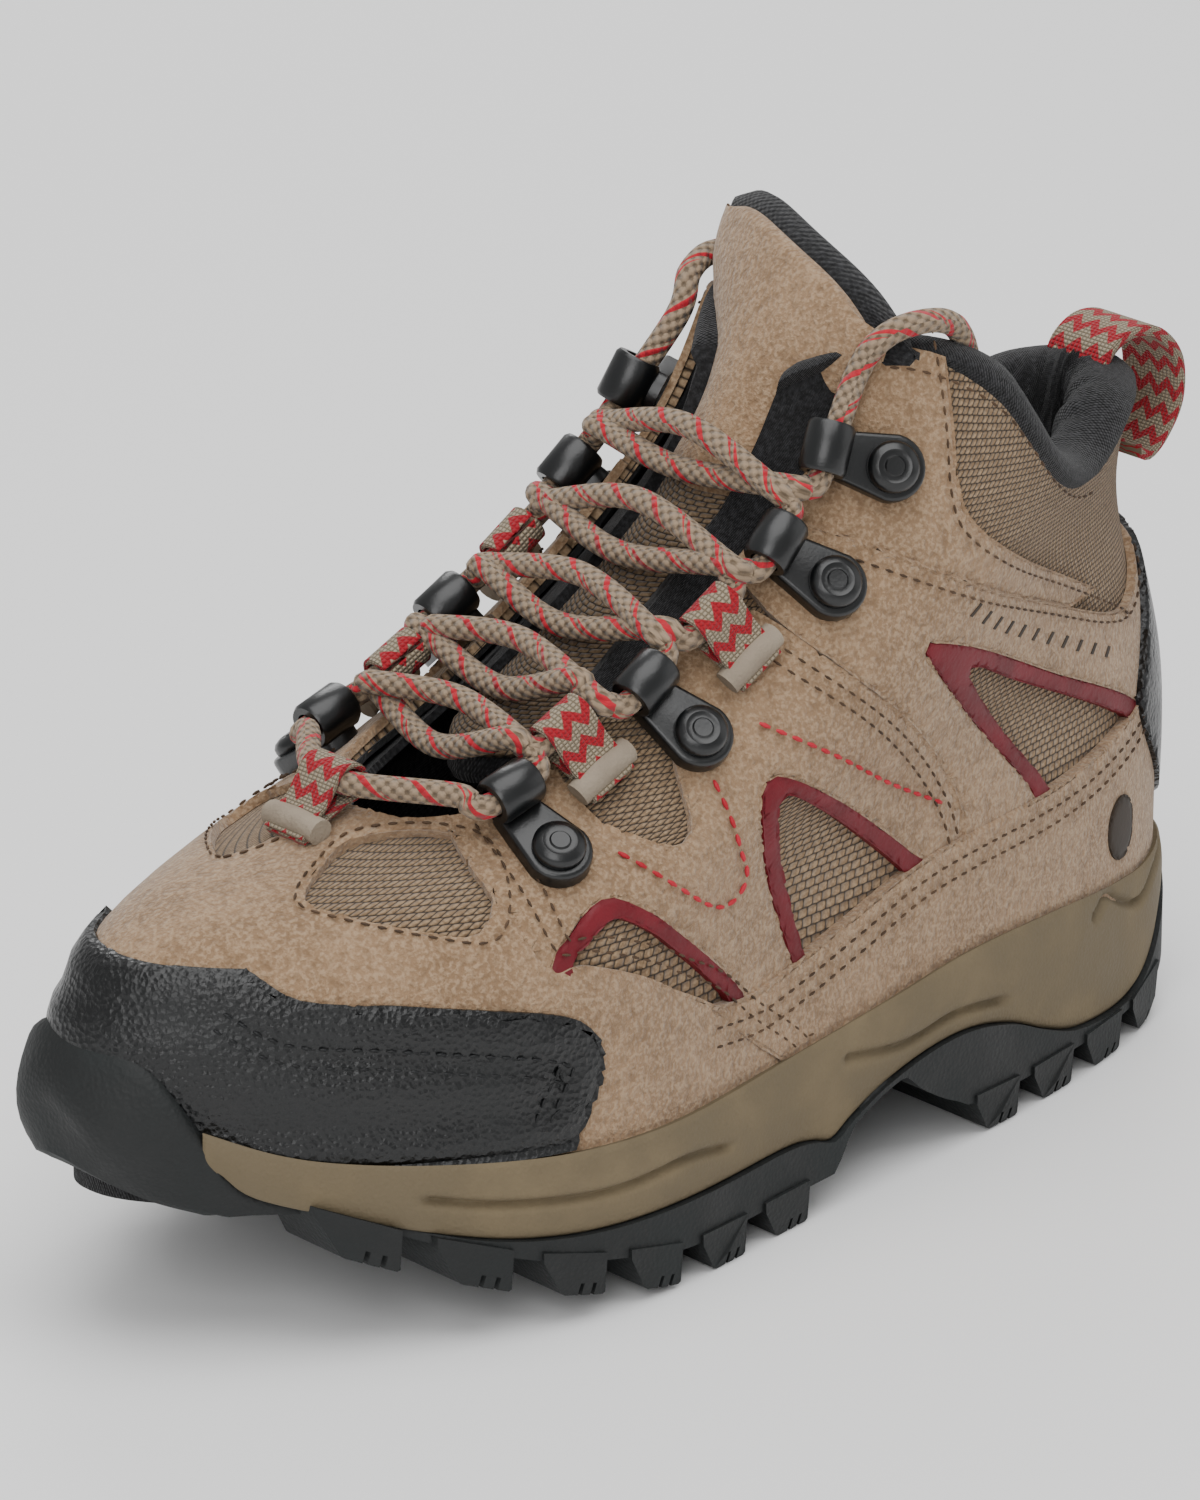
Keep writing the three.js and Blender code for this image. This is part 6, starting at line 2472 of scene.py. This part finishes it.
@dataclass
class Stage:
    """Pale floor, soft lights and the camera."""

    frame: Frame
    turn: float = -43.0
    tilt: float = 21.5
    distance: float = 1.5
    look: tuple = (1.63, 0.29, 78.36)
    lens: float = 205.9
    sky: float = 0.6  # strength of the light from all round

    def build(self) -> None:
        """Sets up everything round the boot."""
        self.floor()
        self.lights()
        self.camera()
        world = bpy.data.worlds.new("studio")
        bpy.context.scene.world = world
        world.use_nodes = True
        background = world.node_tree.nodes["Background"]
        background.inputs[0].default_value = linear("F4F4F4")
        background.inputs[1].default_value = self.sky

    def floor(self) -> None:
        """A plain pale floor."""
        bm = bmesh.new()
        bmesh.ops.create_grid(bm, x_segments=1, y_segments=1, size=6)
        mesh = bpy.data.meshes.new("floor")
        bm.to_mesh(mesh)
        bm.free()
        mesh.materials.append(Look("pale floor").finish(linear("F2F2F2"), 0.9))
        thing = bpy.data.objects.new("floor", mesh)
        thing.location.z = -0.0004
        bpy.context.scene.collection.objects.link(thing)

    def lights(self) -> None:
        """Soft boxes: a large one over the boot, one from the left and a weak one from behind."""
        table = {
            "over": ((-0.1, -0.2, 1.2), 1.1, 13.0), "key": ((-0.95, -0.7, 0.75), 0.8, 7.0),
            "rim": ((0.7, 0.9, 0.8), 0.7, 6.0), "right": ((0.95, -0.75, 0.5), 0.8, 1.2),
        }
        for name, (spot, size, power) in table.items():
            lamp = bpy.data.lights.new(name, "AREA")
            lamp.energy = power
            lamp.size = size
            thing = bpy.data.objects.new(name, lamp)
            thing.location = spot
            aim = Vector((0, 0, 0.07)) - Vector(spot)
            thing.rotation_euler = aim.to_track_quat("-Z", "Y").to_euler()
            bpy.context.scene.collection.objects.link(thing)

    def camera(self) -> None:
        """The camera, looking at the boot from the front of its outer side."""
        turn, tilt = math.radians(self.turn), math.radians(self.tilt)
        back = Vector((math.sin(turn) * math.cos(tilt), -math.cos(turn) * math.cos(tilt), math.sin(tilt)))
        camera = bpy.data.cameras.new("camera")
        camera.lens = self.lens
        camera.sensor_width = 36
        thing = bpy.data.objects.new("camera", camera)
        thing.location = Vector(self.look) * MM + self.frame.shift + back * self.distance
        thing.rotation_euler = (-back).to_track_quat("-Z", "Y").to_euler()
        bpy.context.scene.collection.objects.link(thing)
        bpy.context.scene.camera = thing


def dress_hidden(nodes: dict, finishes: Finishes) -> None:
    """Gives the carried-over stiffeners, boards and foams their finishes.

    Args:
        nodes: the carried-over nodes by name.
        finishes: the materials.
    """
    table = {
        "shank": finishes.steel,
        "insole_board": finishes.board,
        "toe_puff": finishes.board,
        "heel_counter": finishes.board,
    }
    for name, thing in nodes.items():
        thing.data.materials.clear()
        thing.data.materials.append(table.get(name, finishes.lining))


def main() -> None:
    """Loads the frame and builds the boot round it."""
    logging.basicConfig(level=logging.INFO, format="%(name)s: %(message)s")
    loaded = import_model()
    bpy.context.view_layer.update()
    frame = Frame()
    finishes = Finishes()
    dress_hidden(loaded["nodes"], finishes)
    threads = (
        Thread("seam_stitches"), Thread("red_stitches", 2.6, 0.9, 3.4), Thread("toe_cap_stitches", 2.0, 0.7, 2.9)
    )
    Sole(frame, finishes).build()
    Upper(frame, finishes, *threads).build()
    Collar(frame, finishes).build()
    Tongue(frame, finishes).build()
    Hooks(frame, finishes).build()
    WebbingLoops(frame, finishes).build()
    Lacing(frame, finishes).build()
    PullLoop(frame, finishes).build()
    looks = (finishes.brown_thread, finishes.red_thread, finishes.black_thread)
    for thread, look, slot in zip(threads, looks, ("tan_suede", "red_trim", "black_cap")):
        frame.piece(thread.sewn(), thread.name, look, slot)
    Stage(frame).build()
    bpy.context.view_layer.update()
    log.info("%d pieces", frame.made)


if __name__ == "__main__":
    main()
